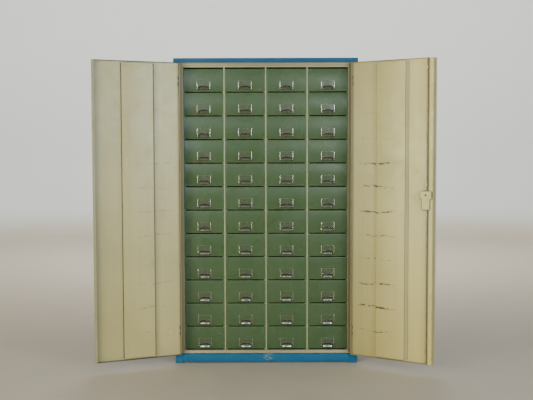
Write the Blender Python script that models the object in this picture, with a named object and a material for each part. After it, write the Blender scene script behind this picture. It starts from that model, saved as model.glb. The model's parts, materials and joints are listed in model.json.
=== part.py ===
"""Steel parts cabinet: a sheet-steel shell with two hinged pan doors, five uprights with runners
and 48 sliding drawers in 4 columns and 12 rows.

Metres, +Z up. The front faces -Y, and the origin is the middle of the underside. The doors stand
open, as they have to before a drawer can move.
"""

import math

import bmesh
import bpy
from mathutils import Matrix, Vector

# ---- driving dimensions -----------------------------------------------------------------------
WIDTH = 1.200
DEPTH = 0.500
HEIGHT = 2.000
SHEET = 0.0015                 # thickness of every sheet part
GAP = 0.0003                   # air left between two pieces that touch

PLINTH_HEIGHT = 0.058
TOP_BAR_HEIGHT = 0.030
JAMB_WIDTH = 0.034             # front flange of each side, outside the doors
REBATE_DEPTH = 0.031           # from the front plane back to the doors' stop
REBATE_WIDTH = 0.025           # how far the stop reaches past the jamb
SILL_HEIGHT = 0.021
HEADER_HEIGHT = 0.027

COLUMNS = 4
ROWS = 12
COLUMN_PITCH = 0.272
ROW_PITCH = 0.1549
ROWS_BOTTOM = 0.0795           # height of the lowest row's lower boundary
DIVIDER_WIDTH = 0.012          # front edge of each upright
RACK_FRONT = 0.050             # the uprights' front edges, behind the front plane
RACK_DEPTH = 0.430
RACK_TOP_MARGIN = 0.011        # between the top row's boundary and the plate over the uprights
RACK_TIE = 0.030               # brackets between the outer uprights and the cabinet's sides
LEDGE_WIDTH = 0.013
LEDGE_RISE = 0.0077            # top of a runner above its row's boundary

FRONT_WIDTH = 0.257
FRONT_HEIGHT = 0.149
FRONT_SETBACK = 0.054          # the drawer fronts, behind the cabinet's front plane
FRONT_RETURN = 0.010           # folded top and bottom edges of a drawer front
TRAY_WIDTH = 0.252
TRAY_HEIGHT = 0.117
TRAY_LENGTH = 0.411

CUP_WIDTH = 0.072              # finger cup of a drawer pull
CUP_HEIGHT = 0.024
CUP_REACH = 0.021
CUP_WALL = 0.002
CUP_SEGMENTS = 6
PULL_RISE = 0.014              # lower edge of the pull above the front's lower edge
LABEL_WIDTH = 0.090
LABEL_HEIGHT = 0.036
LABEL_THICKNESS = 0.0025

HINGE_AXIS_X = 0.565
HINGE_PROUD = 0.004            # hinge axis in front of the cabinet's front plane
HINGE_HEIGHTS = (0.219, 1.852)
KNUCKLE_LENGTH = 0.020         # three knuckles make one hinge
KNUCKLE_RADIUS = 0.006
KNUCKLE_CLEARANCE = 0.001
PIN_RADIUS = 0.003
PIN_BORE_RADIUS = 0.0033
PIN_HEAD_RADIUS = 0.0038
PIN_HEAD_HEIGHT = 0.0025
LEAF_REACH = 0.034             # door half of a hinge, measured from the axis

DOOR_EDGE = 0.002              # from the hinge axis to the door's hinged edge
DOOR_DEPTH = 0.025
DOOR_GAP = 0.0025              # above and below the doors
LEFT_DOOR_REACH = 0.568        # from the hinge axis to the free edge
RIGHT_DOOR_REACH = 0.560
LEFT_DOOR_OPEN = 157.0         # degrees open, as modelled
RIGHT_DOOR_OPEN = 148.5
EDGE_LIP = 0.015               # folded back at the left door's free edge
OVERLAP_STRIP = 0.012          # the right door's strip that covers the meeting gap
OVERLAP_OFFSET = 0.002
OVERLAP_FOOT = 0.010

HAT_START = 0.165              # the broad stiffener on each door, from the hinge axis
HAT_TOP_START = 0.177
HAT_TOP_END = 0.378
HAT_END = 0.393
HAT_RISE = 0.020
HAT_END_GAP = 0.013            # the stiffener stops short of the door's ends

STILE_START = 0.526            # box section along the right door's free edge
LOCK_REACH = 0.516             # lock spindle, from the hinge axis
LOCK_HEIGHT = 1.122
ROD_OFFSET = 0.016             # rods and cam, behind the hinge axis
ROD_RADIUS = 0.0045
ROD_BORE_RADIUS = 0.0052
ROD_KEEPER_RADIUS = 0.0065
ROD_CLEAR_OF_SPINDLE = 0.015
ROD_SETBACK = 0.001            # drawn in from the door's end when unlocked
GUIDE_HEIGHT = 0.012
GUIDE_WIDTH = 0.030
GUIDE_RISE = 0.018
GUIDE_HEIGHTS = (0.110, 1.004, 1.186, 1.910)

CASE_HEAD_WIDTH = 0.072
CASE_HEAD_HEIGHT = 0.047
CASE_BODY_WIDTH = 0.050
CASE_BODY_HEIGHT = 0.066
CASE_PLATE = 0.005
CASE_CORNER = 0.012
SPINDLE_RADIUS = 0.005
SPINDLE_BORE_RADIUS = 0.0056
CAM_RADIUS = 0.014
CAM_THICKNESS = 0.0035
ROSE_RADIUS = 0.018
ROSE_THICKNESS = 0.003
HANDLE_STANDOFF = 0.026
HANDLE_LENGTH = 0.105
HANDLE_WIDTH = 0.018
HANDLE_THICKNESS = 0.012
BOLT_SLOT_HEIGHT = 0.046       # slot in the free edge beside the lock
BOLT_SLOT_WIDTH = 0.012

ROUND_SIDES = 20

FRONT_Y = -DEPTH / 2
HINGE_AXIS_Y = FRONT_Y - HINGE_PROUD
DOOR_BOTTOM = PLINTH_HEIGHT + DOOR_GAP
DOOR_TOP = HEIGHT - TOP_BAR_HEIGHT - DOOR_GAP

PAINT = {
    "blue_paint": ((0.050, 0.185, 0.305), 0.45, 0.0),
    "cream_paint": ((0.470, 0.430, 0.285), 0.45, 0.0),
    "green_paint": ((0.095, 0.150, 0.065), 0.35, 0.0),
    "bright_steel": ((0.55, 0.54, 0.50), 0.35, 1.0),
}


# ---- modelling helpers ------------------------------------------------------------------------
def remove_objects():
    """Empty the scene that Blender starts with."""
    for obj in list(bpy.data.objects):
        bpy.data.objects.remove(obj, do_unlink=True)


def make_material(slot):
    """Return the painted or bare metal of one slot, made once."""
    found = bpy.data.materials.get(slot)
    if found:
        return found
    colour, roughness, metallic = PAINT[slot]
    material = bpy.data.materials.new(slot)
    material.use_nodes = True
    shader = material.node_tree.nodes["Principled BSDF"]
    shader.inputs["Base Color"].default_value = (*colour, 1.0)
    shader.inputs["Roughness"].default_value = roughness
    shader.inputs["Metallic"].default_value = metallic
    material.diffuse_color = (*colour, 1.0)
    return material


def object_from(bm, name):
    """Turn a bmesh into a scene object."""
    bmesh.ops.recalc_face_normals(bm, faces=bm.faces)
    mesh = bpy.data.meshes.new(name)
    bm.to_mesh(mesh)
    bm.free()
    obj = bpy.data.objects.new(name, mesh)
    bpy.context.scene.collection.objects.link(obj)
    return obj


def box(x, y, z):
    """A block between the two limits given for each axis."""
    low = Vector((min(x), min(y), min(z)))
    high = Vector((max(x), max(y), max(z)))
    bm = bmesh.new()
    bmesh.ops.create_cube(bm, size=1.0)
    bmesh.ops.scale(bm, vec=high - low, verts=bm.verts)
    bmesh.ops.translate(bm, vec=(low + high) / 2, verts=bm.verts)
    return object_from(bm, "block")


def prism(outline, place, travel):
    """A closed 2-D outline set in space by place(u, v), then extruded along travel."""
    bm = bmesh.new()
    face = bm.faces.new([bm.verts.new(place(u, v)) for u, v in outline])
    swept = bmesh.ops.extrude_face_region(bm, geom=[face])
    moved = [item for item in swept["geom"] if isinstance(item, bmesh.types.BMVert)]
    bmesh.ops.translate(bm, vec=travel, verts=moved)
    return object_from(bm, "prism")


def cylinder(centre, axis, radius, length):
    """A round bar that starts at centre and runs along axis."""
    bm = bmesh.new()
    bmesh.ops.create_cone(bm, cap_ends=True, segments=ROUND_SIDES, radius1=radius,
                          radius2=radius, depth=length)
    bmesh.ops.translate(bm, vec=(0, 0, length / 2), verts=bm.verts)
    turn = Vector((0, 0, 1)).rotation_difference(Vector(axis)).to_matrix()
    bmesh.ops.rotate(bm, cent=(0, 0, 0), matrix=turn, verts=bm.verts)
    bmesh.ops.translate(bm, vec=centre, verts=bm.verts)
    return object_from(bm, "bar")


def boolean_step(target, tools, operation):
    """Apply one exact boolean of target with every tool, then delete the tools."""
    group = bpy.data.collections.new("tools")
    for tool in tools:
        group.objects.link(tool)
    step = target.modifiers.new(operation, "BOOLEAN")
    step.operation = operation
    step.operand_type = "COLLECTION"
    step.collection = group
    step.solver = "EXACT"
    bpy.context.view_layer.update()
    evaluated = target.evaluated_get(bpy.context.evaluated_depsgraph_get())
    result = bpy.data.meshes.new_from_object(evaluated)
    target.modifiers.clear()
    target.data = result
    bpy.data.collections.remove(group)
    for tool in tools:
        bpy.data.objects.remove(tool, do_unlink=True)


def fused(name, slot, solids, cuts=()):
    """One closed solid: the union of solids, less cuts."""
    target = solids[0]
    if len(solids) > 1:
        boolean_step(target, solids[1:], "UNION")
    if cuts:
        boolean_step(target, list(cuts), "DIFFERENCE")
    bm = bmesh.new()
    bm.from_mesh(target.data)
    bmesh.ops.remove_doubles(bm, verts=bm.verts, dist=1e-6)
    bmesh.ops.dissolve_limit(bm, angle_limit=math.radians(0.1), verts=bm.verts, edges=bm.edges)
    bm.to_mesh(target.data)
    bm.free()
    target.name = name
    target.data.name = name
    target.data.materials.clear()
    target.data.materials.append(make_material(slot))
    return target


def stand_at(obj, location, turn=0.0):
    """Place an object whose mesh was made around its own joint axis."""
    obj.location = location
    obj.rotation_euler = (0.0, 0.0, turn)


# ---- hinges -----------------------------------------------------------------------------------
def knuckle(x, y, bottom, length):
    """A hinge knuckle without its bore."""
    return cylinder((x, y, bottom), (0, 0, 1), KNUCKLE_RADIUS, length)


def pin_bore(x, y, centre_height):
    """The hole that a hinge pin runs in, through all three knuckles."""
    reach = 2 * KNUCKLE_LENGTH
    return cylinder((x, y, centre_height - reach), (0, 0, 1), PIN_BORE_RADIUS, 2 * reach)


def hinge_pin(x, y, centre_height):
    """A pin pressed into the two fixed knuckles, with a flat head on the upper one."""
    reach = 1.5 * KNUCKLE_LENGTH
    shank = cylinder((x, y, centre_height - reach), (0, 0, 1), PIN_RADIUS, 2 * reach)
    head = cylinder((x, y, centre_height + reach - SHEET), (0, 0, 1), PIN_HEAD_RADIUS,
                    SHEET + PIN_HEAD_HEIGHT)
    return [shank, head]


# ---- cabinet shell ----------------------------------------------------------------------------
def shell_walls():
    """Base, floor, sides, back and top."""
    half = WIDTH / 2
    across = (-half, half)
    deep = (-DEPTH / 2, DEPTH / 2)
    tall = (0, HEIGHT)
    return [
        box(across, deep, (0, SHEET)),
        box(across, deep, (PLINTH_HEIGHT - SHEET, PLINTH_HEIGHT)),
        box(across, deep, (HEIGHT - SHEET, HEIGHT)),
        box((-half, -half + SHEET), deep, tall),
        box((half - SHEET, half), deep, tall),
        box(across, (DEPTH / 2 - SHEET, DEPTH / 2), tall),
    ]


def shell_front():
    """Plinth, top bar, jambs and the stop that the doors close against."""
    half = WIDTH / 2
    opening = half - JAMB_WIDTH
    face = (FRONT_Y, FRONT_Y + SHEET)
    rebate = (FRONT_Y, FRONT_Y + REBATE_DEPTH)
    stop = (FRONT_Y + REBATE_DEPTH - SHEET, FRONT_Y + REBATE_DEPTH)
    header = HEIGHT - TOP_BAR_HEIGHT
    solids = [
        box((-half, half), face, (0, PLINTH_HEIGHT)),
        box((-half, half), face, (header, HEIGHT)),
        box((-half, half), rebate, (header, header + SHEET)),
        box((-opening, opening), stop, (PLINTH_HEIGHT - SHEET, PLINTH_HEIGHT + SILL_HEIGHT)),
        box((-opening, opening), stop, (header - HEADER_HEIGHT, header + SHEET)),
    ]
    for side in (-1, 1):
        inner = side * opening
        solids.append(box((inner, side * half), face, (0, HEIGHT)))
        solids.append(box((inner, inner + side * SHEET), rebate, (0, HEIGHT)))
        solids.append(box((inner - side * REBATE_WIDTH, inner + side * SHEET), stop, (0, HEIGHT)))
    return solids


def shell_knuckles():
    """The fixed knuckles with their pins, and the notches that let the doors' knuckles turn."""
    solids = []
    notches = []
    length = KNUCKLE_LENGTH - KNUCKLE_CLEARANCE / 2
    half_gap = KNUCKLE_LENGTH / 2
    swing = KNUCKLE_RADIUS + KNUCKLE_CLEARANCE
    for side in (-1, 1):
        x = side * HINGE_AXIS_X
        for height in HINGE_HEIGHTS:
            solids.append(knuckle(x, HINGE_AXIS_Y, height - 1.5 * KNUCKLE_LENGTH, length))
            solids.append(knuckle(x, HINGE_AXIS_Y, height + 1.5 * KNUCKLE_LENGTH - length, length))
            solids += hinge_pin(x, HINGE_AXIS_Y, height)
            notches.append(box((x - swing, x + swing), (HINGE_AXIS_Y - swing, HINGE_AXIS_Y + swing),
                               (height - half_gap, height + half_gap)))
    return solids, notches


def rod_keepers():
    """Holes above and below the doors that the lock rods enter."""
    x = HINGE_AXIS_X - LOCK_REACH
    y = HINGE_AXIS_Y + ROD_OFFSET
    low = cylinder((x, y, PLINTH_HEIGHT / 2), (0, 0, 1), ROD_KEEPER_RADIUS, PLINTH_HEIGHT)
    high = cylinder((x, y, HEIGHT - 1.5 * TOP_BAR_HEIGHT), (0, 0, 1), ROD_KEEPER_RADIUS,
                    TOP_BAR_HEIGHT)
    return [low, high]


def rack_mountings():
    """The plate over the uprights and the brackets beside the outer ones."""
    half = WIDTH / 2
    above = rack_top() + GAP
    solids = [box((-half, half), (FRONT_Y + REBATE_DEPTH - SHEET, DEPTH / 2), (above, above + SHEET))]
    beside = COLUMNS / 2 * COLUMN_PITCH + SHEET / 2 + GAP
    for side in (-1, 1):
        for height in (0.25 * HEIGHT, 0.75 * HEIGHT):
            solids.append(box((side * beside, side * (half - SHEET / 2)),
                              (-RACK_TIE / 2, RACK_TIE / 2), (height, height + SHEET)))
    return solids


def cabinet_shell():
    """The blue carcass with the cream stop behind the doors, and the fixed half of each hinge."""
    knuckles, notches = shell_knuckles()
    sheets = shell_walls() + shell_front() + rack_mountings()
    carcass = fused("carcass", "blue_paint", sheets, notches + rod_keepers())
    return fused("cabinet_shell", "blue_paint", [carcass] + knuckles)


# ---- uprights ---------------------------------------------------------------------------------
def row_bottom(row):
    """Lower boundary of a row; row 1 is the top one."""
    return ROWS_BOTTOM + (ROWS - row) * ROW_PITCH


def rack_top():
    """Upper end of every upright."""
    return ROWS_BOTTOM + ROWS * ROW_PITCH + RACK_TOP_MARGIN


def column_centre(column):
    """Middle of a column; column 1 is at the left."""
    return (column - (COLUMNS + 1) / 2) * COLUMN_PITCH


def comb_outline(ledges_left, ledges_right):
    """Section of an upright with its runners, in x and z about the upright's middle."""
    low = PLINTH_HEIGHT + GAP
    high = rack_top()
    tops = [row_bottom(row) + LEDGE_RISE for row in range(1, ROWS + 1)]
    edge = SHEET / 2
    reach = edge + LEDGE_WIDTH
    right = []
    for top in reversed(tops):
        right += [(edge, top - SHEET), (reach, top - SHEET), (reach, top), (edge, top)]
    left = [(-x, z) for x, z in reversed(right)]
    outline = [(-edge, low), (edge, low)]
    outline += right if ledges_right else []
    outline += [(edge, high), (-edge, high)]
    outline += left if ledges_left else []
    return outline


def rack_uprights():
    """One upright at each side of every column: a web with runners and a broad front edge."""
    front = FRONT_Y + RACK_FRONT
    back = front + RACK_DEPTH
    runner_front = FRONT_Y + FRONT_SETBACK + SHEET + 4 * GAP
    tall = (PLINTH_HEIGHT + GAP, rack_top())
    for index in range(COLUMNS + 1):
        x = (index - COLUMNS / 2) * COLUMN_PITCH
        outline = comb_outline(index > 0, index < COLUMNS)
        web = prism(outline, lambda u, v: (x + u, runner_front, v), (0, back - runner_front, 0))
        nose = box((x - SHEET / 2, x + SHEET / 2), (front, runner_front + SHEET), tall)
        edge = box((x - DIVIDER_WIDTH / 2, x + DIVIDER_WIDTH / 2), (front, front + SHEET), tall)
        fused(f"rack_upright_{index + 1}", "cream_paint", [web, nose, edge])


# ---- drawers ----------------------------------------------------------------------------------
def cup_outline(inset):
    """Quarter ellipse of the finger cup in depth and height, from the front face outwards."""
    reach = CUP_REACH - inset
    height = CUP_HEIGHT - inset
    points = []
    for step in range(CUP_SEGMENTS + 1):
        angle = math.pi / 2 * step / CUP_SEGMENTS
        points.append((-reach * math.sin(angle), height * math.cos(angle)))
    return points


def drawer_pull(base):
    """Label frame and downward-opening finger cup, from its lower edge at height base."""
    half = CUP_WIDTH / 2
    outer = cup_outline(0.0) + [(SHEET / 2, 0.0), (SHEET / 2, CUP_HEIGHT)]
    inner = cup_outline(CUP_WALL)
    inner[-1] = (inner[-1][0], -CUP_WALL)
    inner = inner + [(0.0, -CUP_WALL)]
    shell = prism(outer, lambda u, v: (-half, u, base + v), (2 * half, 0, 0))
    hollow = prism(inner, lambda u, v: (-half + CUP_WALL, u, base + v),
                   (2 * (half - CUP_WALL), 0, 0))
    label = box((-LABEL_WIDTH / 2, LABEL_WIDTH / 2), (-LABEL_THICKNESS, SHEET / 2),
                (base + CUP_HEIGHT - CUP_WALL, base + CUP_HEIGHT - CUP_WALL + LABEL_HEIGHT))
    return [shell, label], hollow


def drawer_mesh():
    """One drawer about the middle of its column, with y = 0 on its front face and z = 0 on
    its row's lower boundary."""
    foot = (ROW_PITCH - FRONT_HEIGHT) / 2
    top = foot + FRONT_HEIGHT
    wide = (-FRONT_WIDTH / 2, FRONT_WIDTH / 2)
    tray = TRAY_WIDTH / 2
    floor = LEDGE_RISE + GAP
    long = (SHEET / 2, TRAY_LENGTH)
    solids = [
        box(wide, (0, SHEET), (foot, top)),
        box(wide, (0, FRONT_RETURN), (top - SHEET, top)),
        box(wide, (0, FRONT_RETURN), (foot, foot + SHEET)),
        box((-tray, tray), long, (floor, floor + SHEET)),
        box((-tray, -tray + SHEET), long, (floor, floor + TRAY_HEIGHT)),
        box((tray - SHEET, tray), long, (floor, floor + TRAY_HEIGHT)),
        box((-tray, tray), (TRAY_LENGTH - SHEET, TRAY_LENGTH), (floor, floor + TRAY_HEIGHT)),
    ]
    pull, hollow = drawer_pull(foot + PULL_RISE)
    return fused("drawer", "green_paint", solids + pull, [hollow])


def drawers():
    """Every drawer: one mesh, shared by one object for each place in the rack."""
    pattern = drawer_mesh()
    for row in range(1, ROWS + 1):
        for column in range(1, COLUMNS + 1):
            drawer = bpy.data.objects.new(f"drawer_c{column}_r{row:02d}", pattern.data)
            bpy.context.scene.collection.objects.link(drawer)
            stand_at(drawer, (column_centre(column), FRONT_Y + FRONT_SETBACK, row_bottom(row)))
    bpy.data.objects.remove(pattern, do_unlink=True)


# ---- doors: made closed, about their own hinge axis; s runs from the axis to the free edge -----
def door_box(side, s, y, z):
    """A block of a closed door; side is -1 for the left door and 1 for the right."""
    return box((-side * s[0], -side * s[1]), y, z)


def hat_stiffener(side):
    """The broad raised stiffener welded to the inside of a door's skin."""
    skin = HINGE_PROUD + SHEET / 2
    crown = HINGE_PROUD + SHEET + HAT_RISE
    outer = [(HAT_START, skin), (HAT_TOP_START, crown), (HAT_TOP_END, crown), (HAT_END, skin)]
    inner = [(HAT_END - 2 * SHEET, skin), (HAT_TOP_END - SHEET, crown - SHEET),
             (HAT_TOP_START + SHEET, crown - SHEET), (HAT_START + 2 * SHEET, skin)]
    low = DOOR_BOTTOM + HAT_END_GAP
    high = DOOR_TOP - HAT_END_GAP
    return prism(outer + inner, lambda s, y: (-side * s, y, low), (0, 0, high - low))


def door_pan(side, reach):
    """Skin, four folded edges, stiffener and the door's half of each hinge."""
    skin = (HINGE_PROUD, HINGE_PROUD + SHEET)
    deep = (HINGE_PROUD, HINGE_PROUD + DOOR_DEPTH)
    tall = (DOOR_BOTTOM, DOOR_TOP)
    wide = (DOOR_EDGE, reach)
    solids = [
        door_box(side, wide, skin, tall),
        door_box(side, (DOOR_EDGE, DOOR_EDGE + SHEET), deep, tall),
        door_box(side, (reach - SHEET, reach), deep, tall),
        door_box(side, wide, deep, (DOOR_BOTTOM, DOOR_BOTTOM + SHEET)),
        door_box(side, wide, deep, (DOOR_TOP - SHEET, DOOR_TOP)),
        hat_stiffener(side),
    ]
    cuts = []
    swing = KNUCKLE_RADIUS + KNUCKLE_CLEARANCE
    half_middle = (KNUCKLE_LENGTH - KNUCKLE_CLEARANCE) / 2
    for height in HINGE_HEIGHTS:
        middle = (height - half_middle, height + half_middle)
        ends = 1.5 * KNUCKLE_LENGTH
        leaf = (HINGE_PROUD + SHEET / 2, HINGE_PROUD + 2 * SHEET)
        solids.append(knuckle(0, 0, middle[0], middle[1] - middle[0]))
        solids.append(door_box(side, (swing + SHEET, LEAF_REACH), leaf, (height - ends, height + ends)))
        solids.append(door_box(side, (DOOR_EDGE, swing + 2 * SHEET), leaf, middle))
        for way in (-1, 1):
            near = height + way * KNUCKLE_LENGTH / 2
            far = height + way * (ends + KNUCKLE_CLEARANCE)
            cuts.append(box((-swing, swing), (-swing, swing), (near, far)))
        cuts.append(pin_bore(0, 0, height))
    return solids, cuts


def left_door():
    """The door that closes first."""
    solids, cuts = door_pan(-1, LEFT_DOOR_REACH)
    lip = (HINGE_PROUD + DOOR_DEPTH - SHEET, HINGE_PROUD + DOOR_DEPTH)
    solids.append(door_box(-1, (LEFT_DOOR_REACH - EDGE_LIP, LEFT_DOOR_REACH), lip,
                           (DOOR_BOTTOM, DOOR_TOP)))
    door = fused("left_door", "cream_paint", solids, cuts)
    stand_at(door, (-HINGE_AXIS_X, HINGE_AXIS_Y, 0), -math.radians(LEFT_DOOR_OPEN))


def right_door_extras():
    """Box stile, overlap strip and rod guides, with the holes that the lock needs."""
    tall = (DOOR_BOTTOM, DOOR_TOP)
    crown = HINGE_PROUD + DOOR_DEPTH
    reach = RIGHT_DOOR_REACH
    strip = (HINGE_PROUD - OVERLAP_OFFSET, HINGE_PROUD - OVERLAP_OFFSET + SHEET)
    foot = (strip[0], HINGE_PROUD + SHEET / 2)
    solids = [
        door_box(1, (STILE_START, reach), (crown - SHEET, crown), tall),
        door_box(1, (STILE_START, STILE_START + SHEET), (HINGE_PROUD, crown), tall),
        door_box(1, (reach - OVERLAP_FOOT, reach), foot, tall),
        door_box(1, (reach - SHEET, reach + OVERLAP_STRIP), strip, tall),
    ]
    rod_bore = cylinder((-LOCK_REACH, ROD_OFFSET, 0), (0, 0, 1), ROD_BORE_RADIUS, HEIGHT)
    through = cylinder((-LOCK_REACH, -DOOR_DEPTH, LOCK_HEIGHT), (0, 1, 0), SPINDLE_BORE_RADIUS,
                       3 * DOOR_DEPTH)
    slot = door_box(1, (reach - 2 * SHEET, reach + SHEET),
                    (ROD_OFFSET - BOLT_SLOT_WIDTH / 2, ROD_OFFSET + BOLT_SLOT_WIDTH / 2),
                    (LOCK_HEIGHT - BOLT_SLOT_HEIGHT / 2, LOCK_HEIGHT + BOLT_SLOT_HEIGHT / 2))
    window = door_box(1, (STILE_START - SHEET, STILE_START + 2 * SHEET),
                      (HINGE_PROUD + 2 * SHEET, crown - 2 * SHEET),
                      (LOCK_HEIGHT - CAM_RADIUS - SHEET, LOCK_HEIGHT + CAM_RADIUS + SHEET))
    for height in GUIDE_HEIGHTS:
        solids.append(door_box(1, (LOCK_REACH - GUIDE_WIDTH / 2, STILE_START + SHEET / 2),
                               (HINGE_PROUD + SHEET / 2, HINGE_PROUD + SHEET + GUIDE_RISE),
                               (height - GUIDE_HEIGHT / 2, height + GUIDE_HEIGHT / 2)))
    return solids, [rod_bore, through, slot, window]


def right_door():
    """The door with the lock; its strip covers the left door's edge."""
    solids, cuts = door_pan(1, RIGHT_DOOR_REACH)
    extra_solids, extra_cuts = right_door_extras()
    door = fused("right_door", "cream_paint", solids + extra_solids, cuts + extra_cuts)
    stand_at(door, (HINGE_AXIS_X, HINGE_AXIS_Y, 0), math.radians(RIGHT_DOOR_OPEN))


# ---- lock: made with the right door closed, then turned open with it ---------------------------
def turn_with_right_door(obj, local):
    """Place a lock piece, whose mesh is about the point local of the closed right door."""
    turn = math.radians(RIGHT_DOOR_OPEN)
    axis = Vector((HINGE_AXIS_X, HINGE_AXIS_Y, 0))
    stand_at(obj, axis + Matrix.Rotation(turn, 3, "Z") @ Vector(local), turn)


def case_outline():
    """Outline of the lock case: a wide head with two rounded corners over a narrower body."""
    head = CASE_HEAD_WIDTH / 2
    body = CASE_BODY_WIDTH / 2
    top = CASE_HEAD_HEIGHT / 2
    points = [(-body, -top - CASE_BODY_HEIGHT), (body, -top - CASE_BODY_HEIGHT), (body, -top),
              (head, -top)]
    for side, start in ((1, 0.0), (-1, math.pi / 2)):
        for step in range(5):
            angle = start + math.pi / 2 * step / 4
            points.append((side * (head - CASE_CORNER) + CASE_CORNER * math.cos(angle),
                           top - CASE_CORNER + CASE_CORNER * math.sin(angle)))
    points += [(-head, -top), (-body, -top)]
    return points


def lock_case():
    """Cover plate over the lock, with one cheek down to the door's skin."""
    plate_low = HINGE_PROUD + DOOR_DEPTH + GAP - ROD_OFFSET
    plate = prism(case_outline(), lambda u, v: (u, plate_low, v), (0, CASE_PLATE, 0))
    skin = HINGE_PROUD + SHEET + GAP - ROD_OFFSET
    cheek = box((CASE_BODY_WIDTH / 2 - 2 * SHEET, CASE_BODY_WIDTH / 2), (skin, plate_low + SHEET),
                (-CASE_HEAD_HEIGHT / 2 - CASE_BODY_HEIGHT, CASE_HEAD_HEIGHT / 2 - SHEET))
    hole = cylinder((0, -DOOR_DEPTH, 0), (0, 1, 0), SPINDLE_BORE_RADIUS, 3 * DOOR_DEPTH)
    case = fused("lock_case", "cream_paint", [plate, cheek], [hole])
    turn_with_right_door(case, (-LOCK_REACH, ROD_OFFSET, LOCK_HEIGHT))


def lock_handle():
    """Outside handle with its rose, spindle and the cam that drives the rods."""
    face = HINGE_PROUD - GAP - ROD_OFFSET
    grip = face - ROSE_THICKNESS - HANDLE_STANDOFF
    spindle_end = HINGE_PROUD + DOOR_DEPTH + CASE_PLATE / 2 - ROD_OFFSET
    cam = ROD_RADIUS + 4 * GAP
    along = HANDLE_LENGTH - HANDLE_WIDTH / 2
    solids = [
        cylinder((0, face, 0), (0, -1, 0), ROSE_RADIUS, ROSE_THICKNESS),
        cylinder((0, grip, 0), (0, 1, 0), SPINDLE_RADIUS, spindle_end - grip),
        cylinder((0, cam, 0), (0, 1, 0), CAM_RADIUS, CAM_THICKNESS),
        box((-HANDLE_WIDTH / 2, along), (grip - HANDLE_THICKNESS, grip + SHEET),
            (-HANDLE_WIDTH / 2, HANDLE_WIDTH / 2)),
    ]
    handle = fused("lock_handle", "bright_steel", solids)
    turn_with_right_door(handle, (-LOCK_REACH, ROD_OFFSET, LOCK_HEIGHT))


def lock_rods():
    """The two rods that slide out of the door's ends when the handle turns."""
    upper = DOOR_TOP - ROD_SETBACK - LOCK_HEIGHT - ROD_CLEAR_OF_SPINDLE
    lower = LOCK_HEIGHT - ROD_CLEAR_OF_SPINDLE - DOOR_BOTTOM - ROD_SETBACK
    ends = {"upper_lock_rod": (1, upper), "lower_lock_rod": (-1, lower)}
    for name, (way, length) in ends.items():
        bar = cylinder((0, 0, way * ROD_CLEAR_OF_SPINDLE), (0, 0, way), ROD_RADIUS, length)
        rod = fused(name, "bright_steel", [bar])
        turn_with_right_door(rod, (-LOCK_REACH, ROD_OFFSET, LOCK_HEIGHT))


def main():
    remove_objects()
    cabinet_shell()
    rack_uprights()
    left_door()
    right_door()
    lock_case()
    lock_handle()
    lock_rods()
    drawers()


main()
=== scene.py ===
"""Looks of the steel parts cabinet: rounded sheet metal, nickelled pulls, aged enamel and the
lock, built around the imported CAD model. Metres, in the CAD model's frame."""

import json
import math

import bmesh
import bpy
from mathutils import Matrix, Vector

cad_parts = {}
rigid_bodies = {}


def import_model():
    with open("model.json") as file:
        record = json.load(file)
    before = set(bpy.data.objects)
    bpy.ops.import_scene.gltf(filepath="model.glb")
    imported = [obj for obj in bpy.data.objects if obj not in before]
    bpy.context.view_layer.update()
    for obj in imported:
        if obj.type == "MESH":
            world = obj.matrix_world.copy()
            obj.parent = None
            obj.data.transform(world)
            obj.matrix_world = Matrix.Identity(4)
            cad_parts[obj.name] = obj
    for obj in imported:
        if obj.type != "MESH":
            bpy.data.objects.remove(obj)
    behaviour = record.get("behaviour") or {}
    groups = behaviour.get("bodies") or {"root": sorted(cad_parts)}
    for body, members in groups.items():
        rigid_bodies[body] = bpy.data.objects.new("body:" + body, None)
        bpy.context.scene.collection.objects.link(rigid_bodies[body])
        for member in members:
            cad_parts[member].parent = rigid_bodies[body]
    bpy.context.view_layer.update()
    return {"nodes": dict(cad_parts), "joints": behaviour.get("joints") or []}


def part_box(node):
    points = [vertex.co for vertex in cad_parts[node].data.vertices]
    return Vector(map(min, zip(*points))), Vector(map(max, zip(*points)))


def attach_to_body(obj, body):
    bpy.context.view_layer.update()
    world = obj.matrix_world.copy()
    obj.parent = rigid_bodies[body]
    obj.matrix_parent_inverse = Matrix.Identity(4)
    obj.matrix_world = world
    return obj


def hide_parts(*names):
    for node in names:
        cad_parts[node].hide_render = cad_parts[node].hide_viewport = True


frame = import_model()

# ---- places read from the frame -----------------------------------------------------------------
SHELL_LOW, SHELL_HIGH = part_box("cabinet_shell")
UPRIGHTS = [name for name in sorted(frame["nodes"]) if name.startswith("rack_upright_")]
RACK_LOW, RACK_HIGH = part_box(UPRIGHTS[0])
DOOR_LOW, DOOR_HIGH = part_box("left_door")
JOINTS = {joint["name"]: joint for joint in frame["joints"]}
LEFT_HINGE = Vector(JOINTS["left_door_hinge"]["pos_m"])
RIGHT_HINGE = Vector(JOINTS["right_door_hinge"]["pos_m"])
LEFT_OPEN = math.radians(-JOINTS["left_door_hinge"]["range_deg"][0])
RIGHT_OPEN = math.radians(-JOINTS["right_door_hinge"]["range_deg"][0])
LOCK_POINT = Vector(JOINTS["lock_handle_turn"]["pos_m"])
DRAWERS = sorted(name for name in frame["nodes"] if name.startswith("drawer_c"))
FIRST_LOW, FIRST_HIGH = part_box("drawer_c1_r12")
NEXT_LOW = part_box("drawer_c2_r11")[0]

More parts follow.
